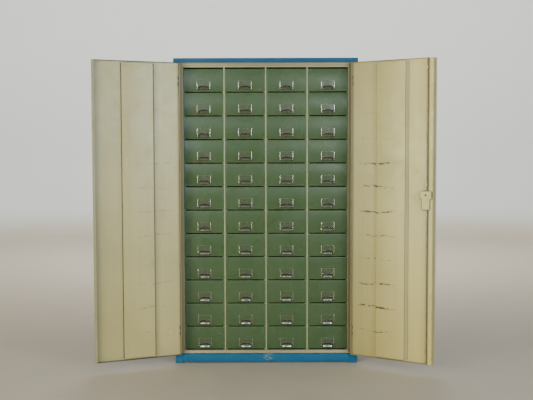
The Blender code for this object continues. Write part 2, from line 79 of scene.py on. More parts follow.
HALF_WIDTH = SHELL_HIGH.x
BACK_Y = SHELL_HIGH.y
FRONT_Y = -BACK_Y
HEIGHT = SHELL_HIGH.z
DOOR_BOTTOM = DOOR_LOW.z
DOOR_TOP = DOOR_HIGH.z
COLUMN_PITCH = NEXT_LOW.x - FIRST_LOW.x
ROW_PITCH = NEXT_LOW.z - FIRST_LOW.z
FRONT_WIDTH = FIRST_HIGH.x - FIRST_LOW.x
FRONT_HEIGHT = FIRST_HIGH.z - FIRST_LOW.z
FRONT_FOOT = (ROW_PITCH - FRONT_HEIGHT) / 2
ROWS_BOTTOM = FIRST_LOW.z - FRONT_FOOT
COLUMNS_LEFT = FIRST_LOW.x + FRONT_WIDTH / 2 - COLUMN_PITCH / 2
COLUMNS = 4
ROWS = 12
DOOR_NAMES = {-1: "left_door", 1: "right_door"}

# ---- sizes that the frame doesn't name ----------------------------------------------------------
MM = 0.001
SHEET = 1.5 * MM
BETWEEN_SIDES = (-HALF_WIDTH + SHEET, HALF_WIDTH - SHEET)
PAN_INSIDE = (DOOR_BOTTOM + SHEET + 0.2 * MM, DOOR_TOP - SHEET - 0.2 * MM)
PIN_HEIGHTS = (219 * MM, 1852 * MM)
PLINTH = 58 * MM
PLINTH_GAP = 6 * MM
KNOCK = (15 * MM, -250 * MM, 50 * MM)
BAR_BOTTOM = HEIGHT - 30 * MM
JAMB_X = 566 * MM
STOP_X = 541 * MM
STOP_Y = FRONT_Y + 30.2 * MM
SHOE_X = 551 * MM
SILL_TOP = PLINTH + 21 * MM
HEADER_BOTTOM = BAR_BOTTOM - 27 * MM
SKIN = FRONT_Y - RIGHT_HINGE.y
DOOR_CROWN = SKIN + 25 * MM
DOOR_START = 2 * MM
LEFT_REACH = 568 * MM
LEFT_LIP = 13 * MM
RIGHT_REACH = 560 * MM
STILE_START = 534 * MM
HAT = {-1: (166 * MM, 178 * MM, 381 * MM, 384 * MM), 1: (173 * MM, 179 * MM, 376 * MM, 393 * MM)}
HAT_RISE = 20 * MM
HAT_END_GAP = 13 * MM
HAT_FLANGE = 7 * MM
KNUCKLE = 20 * MM
KNUCKLE_RADIUS = 6 * MM
KNUCKLE_PLAY = 1 * MM
LEAF_REACH = 34 * MM
CUP_REACH = 21 * MM
CUP_WIDTH = 75 * MM
CUP_HEIGHT = 24 * MM
PULL_RISE = 14 * MM
LABEL_WIDTH = 87 * MM
LABEL_HEIGHT = 36 * MM
FACE_Y = FIRST_LOW.y + CUP_REACH
TRAY_WIDTH = 252 * MM
TRAY_HEIGHT = 117 * MM
TRAY_FLOOR = 8 * MM
DIVIDER_WIDTH = 12 * MM
LEDGE_WIDTH = 13 * MM
LEDGE_TOP = 7.7 * MM
LOCK_REACH = 516 * MM
ROD_DEPTH = 16 * MM
ROD_RADIUS = 4.5 * MM
GUIDE_HEIGHTS = (110 * MM, 1004 * MM, 1186 * MM, 1910 * MM)
WALL_DISTANCE = 9.5
WALL_HEIGHT = 6.0
WALL_COVE = 1.5


# ---- sections and outlines in two dimensions ----------------------------------------------------
def arc(centre, radius, start, end, steps):
    """Points of a circular arc, with its angles in degrees."""
    points = []
    for step in range(steps + 1):
        angle = math.radians(start + (end - start) * step / steps)
        points.append((centre[0] + radius * math.cos(angle), centre[1] + radius * math.sin(angle)))
    return points


def rounded_rectangle(u, v, radius, steps=4):
    """A rectangle over the ranges u and v, anticlockwise from its lower right corner."""
    points = []
    points += arc((u[1] - radius, v[0] + radius), radius, -90, 0, steps)
    points += arc((u[1] - radius, v[1] - radius), radius, 0, 90, steps)
    points += arc((u[0] + radius, v[1] - radius), radius, 90, 180, steps)
    points += arc((u[0] + radius, v[0] + radius), radius, 180, 270, steps)
    return points


def inset(outline, distance):
    """The outline moved inwards; it runs anticlockwise."""
    moved = []
    count = len(outline)
    for index, point in enumerate(outline):
        before = Vector(outline[index - 1])
        here = Vector(point)
        after = Vector(outline[(index + 1) % count])
        into = (here - before).normalized()
        out = (after - here).normalized()
        normal = Vector((-into.y - out.y, into.x + out.x))
        scale = distance / max(0.3, normal.length_squared / 2)
        moved.append(tuple(here + normal * scale))
    return moved


def bent_sheet(path, thickness=SHEET, radius=3 * MM, steps=4):
    """Closed section of a sheet folded along path, its middle line. Each point is (u, v, wear),
    where wear is 1 on the crown of a fold."""
    middle = [(Vector(path[0]), 0.0)]
    for before, point, after in zip(path, path[1:], path[2:]):
        corner = Vector(point)
        into = (corner - Vector(before)).normalized()
        out = (Vector(after) - corner).normalized()
        turn = math.atan2(into.x * out.y - into.y * out.x, into.dot(out))
        cut = radius * abs(math.tan(turn / 2))
        start = corner - into * cut
        side = math.copysign(1.0, turn)
        hub = start + side * radius * Vector((-into.y, into.x))
        for step in range(steps + 1):
            spoke = Matrix.Rotation(turn * step / steps, 2) @ (start - hub)
            middle.append((hub + spoke, 1.0 if 0 < step < steps else 0.0))
    middle.append((Vector(path[-1]), 0.0))
    left = []
    right = []
    for index, (point, wear) in enumerate(middle):
        back = middle[max(index - 1, 0)][0]
        ahead = middle[min(index + 1, len(middle) - 1)][0]
        along = (ahead - back).normalized()
        across = Vector((-along.y, along.x)) * thickness / 2
        left.append((*(point + across), wear))
        right.append((*(point - across), wear))
    return left + right[::-1]


# ---- mesh helpers -------------------------------------------------------------------------------
def new_mesh():
    """An empty bmesh with a layer that says where paint wears off; on the pull's cup it marks
    dust and painted shade.
    """
    bm = bmesh.new()
    bm.verts.layers.float.new("wear")
    return bm


def loft(bm, loops, wear=None, caps=True):
    """Bridge closed loops of equal length. wear has one number, or one list, for each loop."""
    layer = bm.verts.layers.float["wear"]
    rings = []
    for index, loop in enumerate(loops):
        ring = [bm.verts.new(point) for point in loop]
        amount = wear[index] if wear else 0.0
        for place, vert in enumerate(ring):
            vert[layer] = amount[place] if isinstance(amount, list) else amount
        rings.append(ring)
    count = len(rings[0])
    for low, high in zip(rings, rings[1:]):
        for here in range(count):
            there = (here + 1) % count
            bm.faces.new((low[here], low[there], high[there], high[here]))
    if caps:
        bm.faces.new(rings[0][::-1])
        bm.faces.new(rings[-1])


def sweep(bm, section, place, start, end):
    """A bent sheet's section carried in a straight line: place(u, v, t) is the point at t."""
    worn = [point[2] for point in section]
    loops = [[place(point[0], point[1], t) for point in section] for t in (start, end)]
    loft(bm, loops, [worn, worn])


def plate(bm, outline, place, low, high, bevel=0.4 * MM):
    """A flat plate between two depths with bevelled edges: place(u, v, w) is a point."""
    small = inset(outline, bevel)
    levels = ((small, low), (outline, low + bevel), (outline, high - bevel), (small, high))
    loft(bm, [[place(u, v, w) for u, v in shape] for shape, w in levels], [0.0, 1.0, 1.0, 0.0])


def turned(bm, profile, centre, axis, sides=24):
    """A round piece: profile has (distance along axis, radius), from one end to the other."""
    turn = Vector((0, 0, 1)).rotation_difference(Vector(axis)).to_matrix()
    loops = []
    for along, radius in profile:
        ring = []
        for step in range(sides):
            angle = 2 * math.pi * step / sides
            flat = Vector((radius * math.cos(angle), radius * math.sin(angle), along))
            ring.append(Vector(centre) + turn @ flat)
        loops.append(ring)
    loft(bm, loops)


def round_head(bm, centre, axis, radius):
    """A rivet's or screw's low domed head."""
    profile = [(-radius / 4, radius * 0.9)]
    profile += [(radius * 0.5 * math.sin(a), radius * math.cos(a)) for a in (0.0, 0.4, 0.8, 1.2)]
    turned(bm, profile, centre, axis, 14)


def knuckle(length):
    """The profile of a hinge knuckle with chamfered ends."""
    chamfer = 0.5 * MM
    return [(0, KNUCKLE_RADIUS - chamfer), (chamfer, KNUCKLE_RADIUS),
            (length - chamfer, KNUCKLE_RADIUS), (length, KNUCKLE_RADIUS - chamfer)]


def block(bm, x, y, z, bevel=0.5 * MM):
    """A bar or sheet along the axes with small bevels."""
    outline = rounded_rectangle((min(x), max(x)), (min(z), max(z)), bevel, 2)
    plate(bm, outline, lambda u, v, w: (u, w, v), min(y), max(y), bevel / 2)


def finished(name, bm, materials, pick=None, fold=35.0):
    """A scene object from a bmesh. pick(centre, normal) gives the material's place in the list."""
    bmesh.ops.remove_doubles(bm, verts=bm.verts, dist=1e-7)
    bmesh.ops.recalc_face_normals(bm, faces=bm.faces)
    if pick:
        for face in bm.faces:
            face.material_index = pick(face.calc_center_median(), face.normal)
    mesh = bpy.data.meshes.new(name)
    bm.to_mesh(mesh)
    bm.free()
    for material in materials:
        mesh.materials.append(material)
    mesh.shade_smooth()
    mesh.set_sharp_from_angle(angle=math.radians(fold))
    obj = bpy.data.objects.new(name, mesh)
    bpy.context.scene.collection.objects.link(obj)
    return obj


def attach(obj, body, nodes=()):
    """Make an object ride on a CAD body and, with nodes, stand for those CAD nodes."""
    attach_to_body(obj, body)
    if nodes:
        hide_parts(*nodes)
    return obj


def cut_away(obj, boxes):
    """Cut blocks, given as (x range, y range, z range), out of a closed object."""
    group = bpy.data.collections.new("cutters")
    for x, y, z in boxes:
        bm = new_mesh()
        bmesh.ops.create_cube(bm, size=1.0)
        low = Vector((min(x), min(y), min(z)))
        high = Vector((max(x), max(y), max(z)))
        bmesh.ops.scale(bm, vec=high - low, verts=bm.verts)
        bmesh.ops.translate(bm, vec=(low + high) / 2, verts=bm.verts)
        group.objects.link(finished("cutter", bm, list(obj.data.materials)))
    step = obj.modifiers.new("cut", "BOOLEAN")
    step.operation = "DIFFERENCE"
    step.operand_type = "COLLECTION"
    step.collection = group
    step.solver = "EXACT"
    bpy.context.view_layer.update()
    shape = obj.evaluated_get(bpy.context.evaluated_depsgraph_get())
    result = bpy.data.meshes.new_from_object(shape)
    obj.modifiers.clear()
    obj.data = result
    for cutter in list(group.objects):
        bpy.data.objects.remove(cutter, do_unlink=True)
    bpy.data.collections.remove(group)
    result.set_sharp_from_angle(angle=math.radians(35.0))
    return obj


# ---- materials ----------------------------------------------------------------------------------
class Finish:
    """A material under construction. Each method adds a node and returns its output."""

    def __init__(self, name):
        self.material = bpy.data.materials.new(name)
        self.material.use_nodes = True
        self.tree = self.material.node_tree
        self.shader = self.tree.nodes["Principled BSDF"]
        self.place = self.node("ShaderNodeTexCoord").outputs["Object"]

    def node(self, kind, inputs=None, **settings):
        made = self.tree.nodes.new(kind)
        for key, value in settings.items():
            setattr(made, key, value)
        for key, value in (inputs or {}).items():
            if isinstance(value, bpy.types.NodeSocket):
                self.tree.links.new(value, made.inputs[key])
            else:
                made.inputs[key].default_value = value
        return made

    def maths(self, operation, a, b=0.0):
        inputs = {0: a, 1: b}
        return self.node("ShaderNodeMath", inputs, operation=operation).outputs[0]

    def plus(self, a, b):
        return self.maths("ADD", a, b)

    def minus(self, a, b):
        return self.maths("SUBTRACT", a, b)

    def times(self, a, b):
        return self.maths("MULTIPLY", a, b)

    def stretched(self, factors, shift=(0.0, 0.0, 0.0)):
        inputs = {0: self.place, 1: factors, 2: shift}
        return self.node("ShaderNodeVectorMath", inputs, operation="MULTIPLY_ADD").outputs[0]

    def noise(self, scale, detail=2.0, roughness=0.5, at=None):
        inputs = {"Vector": at or self.place, "Scale": scale, "Detail": detail,
                  "Roughness": roughness}
        return self.node("ShaderNodeTexNoise", inputs).outputs["Fac"]

    def remap(self, value, low, high, out_low=0.0, out_high=1.0, smooth=True):
        inputs = {"Value": value, "From Min": low, "From Max": high, "To Min": out_low,
                  "To Max": out_high}
        kind = "SMOOTHSTEP" if smooth else "LINEAR"
        return self.node("ShaderNodeMapRange", inputs, interpolation_type=kind).outputs[0]

    def mix(self, factor, a, b):
        a = (*a, 1.0) if isinstance(a, tuple) else a
        b = (*b, 1.0) if isinstance(b, tuple) else b
        made = self.node("ShaderNodeMix", data_type="RGBA")
        for key, value in ((0, factor), (6, a), (7, b)):
            if isinstance(value, bpy.types.NodeSocket):
                self.tree.links.new(value, made.inputs[key])
            else:
                made.inputs[key].default_value = value
        return made.outputs[2]

    def wear(self):
        made = self.node("ShaderNodeAttribute", attribute_name="wear")
        return made.outputs["Fac"]

    def axes(self):
        return self.node("ShaderNodeSeparateXYZ", {0: self.place}).outputs

    def finish(self, colour, roughness, heights=()):
        """Join the colour, the roughness and bumps given as (height output, metres)."""
        self.tree.links.new(colour, self.shader.inputs["Base Color"])
        self.tree.links.new(roughness, self.shader.inputs["Roughness"])
        normal = None
        for height, distance in heights:
            inputs = {"Height": height, "Distance": distance, "Strength": 1.0}
            if normal:
                inputs["Normal"] = normal
            normal = self.node("ShaderNodeBump", inputs).outputs[0]
        if normal:
            self.tree.links.new(normal, self.shader.inputs["Normal"])
        return self.material


def shaded(colour, share):
    """A colour with all its channels scaled."""
    return tuple(channel * share for channel in colour)


def row_marks(look, strength):
    """Dark rubs on a door's inside, in bands at the heights where open drawers touch it."""
    x, _, z = look.axes()
    step = look.maths("DIVIDE", look.minus(z, ROWS_BOTTOM), ROW_PITCH)
    row = look.maths("ROUND", step)
    along = look.node("ShaderNodeCombineXYZ", {0: x, 2: row}).outputs[0]
    drift = look.remap(look.noise(4.0, 1.0, at=along), 0.3, 0.7, -0.07, 0.07, smooth=False)
    off = look.maths("ABSOLUTE", look.minus(look.minus(step, row), drift))
    band = look.remap(off, 0.022, 0.058, 1.0, 0.0)
    streak = look.noise(1.0, 4.0, 0.65, at=look.stretched((30.0, 30.0, 90.0)))
    reach = look.maths("ABSOLUTE", x)
    inner = look.remap(reach, 0.03, 0.09)
    outer = look.remap(reach, 0.24, 0.33, 1.0, 0.0)
    lower = look.times(look.remap(z, 1.42, 1.50, 1.0, 0.12), look.remap(z, 0.08, 0.12))
    chance = look.node("ShaderNodeTexWhiteNoise", {"W": row}, noise_dimensions="1D")
    each = look.remap(chance.outputs["Value"], 0.0, 1.0, 0.57, 0.44, smooth=False)
    lines = look.remap(look.minus(streak, each), 0.0, 0.05)
    area = look.times(look.times(inner, outer), look.times(band, lower))
    return look.times(look.times(lines, area), strength)


def cream_enamel(name, tone, marks=0.0, painted_light_fade=None, shine=0.5):
    """Old cream enamel: clouded, streaked downwards, with chips, grime and worn folds.
    painted_light_fade gives painted light and shade: the shades at the hinge edge and at the
    free edge of a door."""
    look = Finish(name)
    look.shader.inputs["Specular IOR Level"].default_value = shine
    x, _, z = look.axes()
    clouds = look.noise(2.2, 3.0)
    light = shaded(tone, 1.05)
    dark = tuple(channel * shade for channel, shade in zip(tone, (0.93, 0.93, 0.90)))
    colour = look.mix(look.remap(clouds, 0.3, 0.7), dark, light)
    streaks = look.noise(1.0, 3.0, at=look.stretched((34.0, 34.0, 0.9)))
    colour = look.mix(look.remap(streaks, 0.40, 0.75, 0.0, 0.32), colour, shaded(tone, 0.80))
    # Darker and warmer towards the floor: painted light, the warm cast bounced up from the floor.
    foot = look.remap(z, 0.0, 1.3, 0.30, 0.0)
    colour = look.mix(foot, colour, (tone[0] * 0.92, tone[1] * 0.80, tone[2] * 0.62))
    # Painted light and shade: the colour is scaled from the hinge edge to the free edge, as light
    # falls across a door.
    if painted_light_fade:
        reach = look.maths("ABSOLUTE", x)
        shade = look.remap(reach, 0.05, 0.50, *painted_light_fade, smooth=False)
        colour = look.mix(look.minus(1.0, shade), colour, (0.0, 0.0, 0.0))
    grime = look.noise(13.0, 5.0, 0.62)
    grime_area = look.remap(grime, 0.58, 0.78, 0.0, 0.20)
    colour = look.mix(grime_area, colour, shaded(tone, 0.35))
    specks = look.remap(look.noise(240.0, 1.0), 0.76, 0.80, 0.0, 0.55)
    colour = look.mix(specks, colour, (0.055, 0.040, 0.026))
    rubbed = look.times(look.wear(), look.remap(look.noise(60.0, 4.0), 0.5, 0.66))
    colour = look.mix(look.times(rubbed, 0.6), colour, (0.120, 0.098, 0.060))
    if marks:
        colour = look.mix(row_marks(look, marks), colour, (0.050, 0.036, 0.020))
    roughness = look.remap(grime, 0.3, 0.8, 0.32, 0.46)
    waves = (look.noise(5.0, 1.0), 0.8 * MM)
    peel = (look.noise(420.0, 2.0), 0.03 * MM)
    return look.finish(colour, roughness, (waves, peel))


def green_enamel():
    """Glossy green enamel: each drawer its own shade, soft upright streaks, hand grime round the
    pull and paler edges, partly worn and partly a painted highlight."""
    look = Finish("green_enamel")
    x, _, z = look.axes()
    column = look.maths("DIVIDE", look.minus(x, COLUMNS_LEFT), COLUMN_PITCH)
    row = look.maths("DIVIDE", look.minus(z, ROWS_BOTTOM), ROW_PITCH)
    cell = look.node("ShaderNodeCombineXYZ", {0: look.maths("FLOOR", column),
                                              2: look.maths("FLOOR", row)}).outputs[0]
    each = look.node("ShaderNodeTexWhiteNoise", {"Vector": cell}).outputs["Value"]
    colour = look.mix(each, (0.046, 0.090, 0.026), (0.060, 0.102, 0.037))
    clouds = look.noise(6.0, 0.0)
    colour = look.mix(look.remap(clouds, 0.15, 0.85, 0.0, 0.5), colour, (0.070, 0.112, 0.046))
    streaks = look.noise(1.0, 2.0, 0.5, at=look.stretched((70.0, 70.0, 4.0)))
    colour = look.mix(look.remap(streaks, 0.25, 0.85, 0.0, 0.26), colour, (0.034, 0.078, 0.028))
    across = look.times(look.minus(look.maths("FRACT", column), 0.5), 2.4)
    above = look.times(look.minus(look.maths("FRACT", row), 0.18), 3.0)
    squares = look.plus(look.times(across, across), look.times(above, above))
    hands = look.remap(squares, 0.05, 0.75, 0.25, 0.0)
    colour = look.mix(hands, colour, (0.050, 0.064, 0.025))
    scratches = look.noise(1.0, 3.0, 0.6, at=look.stretched((420.0, 420.0, 30.0)))
    fine = look.remap(scratches, 0.70, 0.76, 0.0, 0.18)
    colour = look.mix(fine, colour, (0.140, 0.170, 0.110))
    # Paler folds and ends: partly wear, partly a painted highlight where the rounded edges catch
    # light.
    edge = look.times(look.wear(), look.remap(look.noise(45.0, 4.0), 0.35, 0.7, 0.25, 0.9))
    colour = look.mix(edge, colour, (0.150, 0.190, 0.095))
    roughness = look.remap(look.noise(9.0, 0.0), 0.2, 0.8, 0.25, 0.31)
    waves = (look.noise(8.0, 1.0), 0.22 * MM)
    peel = (look.noise(500.0, 2.0), 0.02 * MM)
    return look.finish(colour, roughness, (waves, peel))


def blue_enamel():
    """Blue enamel with pale scratches, chips down to a light primer and grime near the floor."""
    look = Finish("blue_enamel")
    look.shader.inputs["Specular IOR Level"].default_value = 0.3
    clouds = look.remap(look.noise(3.4, 4.0), 0.3, 0.7)
    _, _, height = look.axes()
    foot = look.remap(height, 0.05, 0.30, 1.0, 0.0)
    primer = (0.420, 0.440, 0.390)
    colour = look.mix(clouds, (0.0045, 0.073, 0.158), (0.0055, 0.084, 0.178))
    colour = look.mix(foot, colour, (0.010, 0.112, 0.215))
    streaks = look.noise(1.0, 4.0, 0.62, at=look.stretched((9.0, 60.0, 130.0)))
    colour = look.mix(look.remap(streaks, 0.56, 0.80, 0.0, 0.35), colour, (0.022, 0.150, 0.245))
    chips = look.remap(look.noise(52.0, 5.0, 0.66), 0.685, 0.715)
    clusters = look.remap(look.noise(2.6, 1.0), 0.50, 0.66)
    colour = look.mix(look.times(chips, clusters), colour, primer)
    away = look.node("ShaderNodeVectorMath", {0: look.place, 1: KNOCK}, operation="DISTANCE")
    knock = look.remap(away.outputs["Value"], 0.028, 0.052, 0.30, 0.0)
    flakes = look.noise(1.0, 4.0, 0.6, at=look.stretched((75.0, 75.0, 130.0)))
    bare = look.remap(look.plus(flakes, knock), 0.80, 0.88, 0.0, 0.6)
    colour = look.mix(bare, colour, primer)
    low = look.times(look.remap(height, 0.0, 0.035, 0.45, 0.0), clouds)
    colour = look.mix(low, colour, (0.060, 0.055, 0.045))
    edge = look.times(look.wear(), look.remap(look.noise(48.0, 4.0), 0.50, 0.66, 0.0, 0.8))
    colour = look.mix(edge, colour, (0.085, 0.190, 0.260))
    roughness = look.remap(look.noise(22.0, 4.0), 0.3, 0.7, 0.36, 0.54)
    waves = (look.noise(7.0, 1.0), 0.6 * MM)
    peel = (look.noise(460.0, 2.0), 0.02 * MM)
    return look.finish(colour, roughness, (waves, peel))


def old_metal(name, bright, dull, roughness, stain=(0.62, 0.80), metallic=1.0):
    """Bare or plated metal with tarnish, stains, fine rubbed lines and darkening where wear is set:
    on the pull's cup, dust and painted shade.
    """
    look = Finish(name)
    look.shader.inputs["Metallic"].default_value = metallic
    tarnish = look.remap(look.noise(38.0, 4.0, 0.6), 0.3, 0.75)
    colour = look.mix(tarnish, bright, dull)
    stains = look.remap(look.noise(95.0, 4.0, 0.65), *stain, 0.0, 0.8)
    colour = look.mix(stains, colour, shaded(dull, 0.28))
    # Darkens where wear is set: on the pull's cup, dust on the dome and painted shade.
    colour = look.mix(look.times(look.wear(), 0.88), colour, (0.030, 0.024, 0.016))
    rubs = look.noise(1.0, 2.0, at=look.stretched((900.0, 900.0, 60.0)))
    rough = look.plus(look.remap(tarnish, 0.0, 1.0, *roughness),
                      look.remap(stains, 0.0, 1.0, 0.0, 0.2))
    return look.finish(colour, rough, ((rubs, 0.01 * MM),))


CREAM = cream_enamel("cream_enamel", (0.560, 0.475, 0.215))
# Both doors have one paint; the right door's lighter tone and each door's fade are painted light
# and shade.
CREAM_LEFT = cream_enamel("cream_enamel_left_door", (0.545, 0.475, 0.202), 0.25, (1.05, 0.82))
CREAM_RIGHT = cream_enamel("cream_enamel_right_door", (0.640, 0.545, 0.196), 1.0, (0.64, 1.05))
# The stop's fade, lighter towards its ends, is painted light.
STOP_ENAMEL = cream_enamel("stop_enamel", (0.445, 0.398, 0.226), painted_light_fade=(0.73, 1.0))
# The uprights' green tint is their paint; their dark tone is painted shade of the recesses between
# the drawers.
RACK_ENAMEL = cream_enamel("rack_enamel", (0.300, 0.345, 0.175))
# Jamb tones: grime and painted shade beside the open doors, darker on the right side.
JAMB_GRIME_AND_SHADE = (cream_enamel("left_jamb_grime_and_shade", (0.300, 0.250, 0.140)),
                cream_enamel("right_jamb_grime_and_shade", (0.160, 0.132, 0.075)))
# Painted shade in two depths: for door walls, stiffener slopes and folds that the light reaches
# less, and for the jamb knuckles.
DEEP_SHADE_ENAMEL = cream_enamel("deep_shade_enamel", (0.085, 0.085, 0.075))
HALF_SHADE_ENAMEL = cream_enamel("half_shade_enamel", (0.300, 0.258, 0.150))
# A darker, duller copy of the right door's cream: painted shade on the stiffener's outer slope.
SHADED_SLOPE = cream_enamel("shaded_slope_enamel", (0.490, 0.415, 0.175), shine=0.08)
EDGE = cream_enamel("strip_enamel", (0.440, 0.410, 0.270), shine=0.2)
LIP = cream_enamel("lip_enamel", (0.360, 0.335, 0.205), shine=0.10)
GREEN = green_enamel()
BLUE = blue_enamel()
NICKEL = old_metal("aged_nickel", (0.760, 0.720, 0.600), (0.500, 0.460, 0.360), (0.14, 0.30))
DARK_NICKEL = old_metal("tarnished_nickel", (0.385, 0.405, 0.335), (0.235, 0.245, 0.190),
                        (0.20, 0.36))
PLATE = old_metal("label_card", (0.068, 0.094, 0.043), (0.056, 0.079, 0.034), (0.22, 0.34),
                  metallic=0.0)
# Painted shadow: the dark rim round the lock case; the latch block uses it too.
RIM_SHADOW_AND_LATCH = old_metal("rim_shadow_and_latch", (0.300, 0.250, 0.150), (0.040, 0.034, 0.024), (0.50, 0.70),
                   metallic=0.0)
# Painted shade: a near-black colour for the flat disc that stands for the collar's hole.
HOLE_SHADE = old_metal("painted_hole_shade", (0.020, 0.018, 0.015), (0.012, 0.010, 0.008), (0.60, 0.80),
                 metallic=0.0)
GREASED = old_metal("greased_steel", (0.430, 0.395, 0.300), (0.330, 0.300, 0.225), (0.50, 0.66),
                    metallic=0.3)
STEEL = old_metal("worn_steel", (0.480, 0.460, 0.420), (0.300, 0.270, 0.225), (0.28, 0.46))


# ---- drawers ------------------------------------------------------------------------------------
def drawer_front(bm):
    """The folded front panel, about the middle of its column; its ends are softly rounded."""
    low = FRONT_FOOT + SHEET / 2
    high = FRONT_FOOT + FRONT_HEIGHT - SHEET / 2
    back = 10 * MM
    path = [(back, high), (SHEET / 2, high), (SHEET / 2, low), (back, low)]
    half = FRONT_WIDTH / 2
    # The ends' wear values also carry a painted highlight on the rounded ends.
    ends = ((0.0, 0.45), (0.25 * MM, 0.8), (0.8 * MM, 1.0))
    stations = [(-half + shift, share, 1.0) for shift, share in ends]
    stations.append((-half + 4 * MM, 1.0, 0.0))
    stations += [(-x, share, wear) for x, share, wear in reversed(stations)]
    loops = []
    worn = []
    for x, share, end_wear_and_highlight in stations:
        section = bent_sheet(path, SHEET * share, 3.6 * MM)
        loops.append([(x, u, v) for u, v, _ in section])
        worn.append([max(wear, end_wear_and_highlight) for _, _, wear in section])
    loft(bm, loops, worn)


def drawer_tray(bm):
    """The open tray, with a rolled rim."""
    wall = 1.2 * MM
    rim = 1.6 * MM
    depth = (SHEET, FIRST_HIGH.y - FACE_Y - rim)
    across = (-TRAY_WIDTH / 2, TRAY_WIDTH / 2)
    top = TRAY_FLOOR + TRAY_HEIGHT

    def ring(grow, z):
        outline = rounded_rectangle((across[0] - grow, across[1] + grow),
                                    (depth[0] - grow, depth[1] + grow), 4 * MM + grow)
        return [(u, v, z) for u, v in outline]

    loops = [ring(-2 * MM, TRAY_FLOOR), ring(-0.6 * MM, TRAY_FLOOR + 0.4 * MM),
             ring(0.0, TRAY_FLOOR + 2 * MM), ring(0.0, top - 3 * MM)]
    for angle in (-60, -20, 20, 60, 90, 130):
        turn = math.radians(angle)
        loops.append(ring(rim * math.cos(turn) - wall / 2, top - rim * (1 - math.sin(turn))))
    loops += [ring(-wall, top - 3 * MM), ring(-wall, TRAY_FLOOR + wall + 1 * MM),
              ring(-wall - 1.2 * MM, TRAY_FLOOR + wall)]
    worn = [0.0] * 4 + [0.7] * 6 + [0.0] * 3
    loft(bm, loops, worn)


def cup(bm, base):
    """The pull's finger cup: a dome open below, with a rolled lower lip."""
    boxy = 2 / 2.8
    wall = 1.0 * MM
    sides = 26
    arches = 8
    lip = 1.1 * MM
    loops = []
    dust_and_shade = []
    for step in range(sides + 1):
        turn = math.radians(5) + math.radians(170) * step / sides
        across = math.copysign(abs(math.cos(turn)) ** boxy, math.cos(turn))
        rise = math.sin(turn) ** boxy
        outer = []
        inner = []
        for level in range(arches + 1):
            angle = math.pi / 2 * level / arches
            reach = CUP_REACH - lip
            outer.append((-reach * rise * math.sin(angle), CUP_HEIGHT * rise * math.cos(angle)))
            inner.append((-max(reach * rise - wall, 0.2 * MM) * math.sin(angle),
                          max(CUP_HEIGHT * rise - wall, 0.2 * MM) * math.cos(angle)))
        edge = outer.pop()
        outer[-1] = (outer[-1][0], max(outer[-1][1], 2.4 * MM * rise))
        bead = [(edge[0] - 0.4 * lip, 2.1 * MM), (edge[0] - lip, 1.3 * MM),
                (edge[0] - 0.8 * lip, 0.5 * MM), (edge[0], 0.0)]
        section = outer + [(u, v * min(1.0, 2 * rise)) for u, v in bead] + inner[::-1]
        loops.append([(across * CUP_WIDTH / 2, u, base + v) for u, v in section])
        # Dust on the dome's top, and painted shade in the crease where it meets the plate and
        # inside the cup.
        crown = [min(1.0, max(0.0, 1.5 - 3.4 * level / arches)) for level in range(arches)]
        dust_and_shade.append(crown + [0.0] * len(bead) + [1.0] * len(inner))
    loft(bm, loops, dust_and_shade)


def label_frame(bm, base):
    """Raised rails round the label, thicker at the sides, with feet beside the cup."""
    half = LABEL_WIDTH / 2
    low = base + 3 * MM
    top = base + CUP_HEIGHT - 2 * MM + LABEL_HEIGHT
    side = 2.8 * MM
    bar = 1.8 * MM
    edge = half - side * 0.5
    profile = ((0.0, 0.0), (0.04, 0.55), (0.2, 0.86), (0.5, 1.0), (0.8, 0.86), (0.96, 0.55),
               (1.0, 0.0))
    stations = ((low, 0.5), (low + 1.2 * MM, 0.9), (low + 4 * MM, 1.0), (low + 14 * MM, 0.92),
                (low + 20 * MM, 1.0), (top - 3 * MM, 1.0), (top - 1 * MM, 0.9), (top, 0.5))
    for way in (-1, 1):
        loops = []
        for z, swell in stations:
            spread = -1.5 * MM if z < low + 4 * MM else 0.0
            loops.append([(way * (edge - spread + (u - 0.5) * side * swell * way),
                           -2.4 * MM * v * swell, z) for u, v in profile])
        loft(bm, loops)
    for z in (top - bar, base + CUP_HEIGHT - 1 * MM):
        loops = []
        for x in (-half + 2 * MM, half - 2 * MM):
            loops.append([(x, -1.7 * MM * v, z + u * bar) for u, v in profile])
        loft(bm, loops)


def cup_or_frame(centre, normal):
    """The cup is duller than the frame round the label."""
    inside = abs(centre.x) < CUP_WIDTH / 2 and centre.z < FRONT_FOOT + PULL_RISE + CUP_HEIGHT
    return 1 if inside and centre.y < 0.5 * MM else 0


def pull_plate(bm, base):
    """The thin plate behind the label."""
    half = LABEL_WIDTH / 2 - 1.5 * MM
    outline = rounded_rectangle((-half, half), (base + 4 * MM, base + 57 * MM), 2.5 * MM, 3)
    plate(bm, outline, lambda u, v, w: (u, -w, v), 0.02 * MM, 0.7 * MM, 0.2 * MM)


def copy_to(template, name, offset):
    """A copy of a mesh, with its place in its vertices."""
    mesh = template.data.copy()
    mesh.name = name
    mesh.transform(Matrix.Translation(offset))
    obj = bpy.data.objects.new(name, mesh)
    bpy.context.scene.collection.objects.link(obj)
    return obj


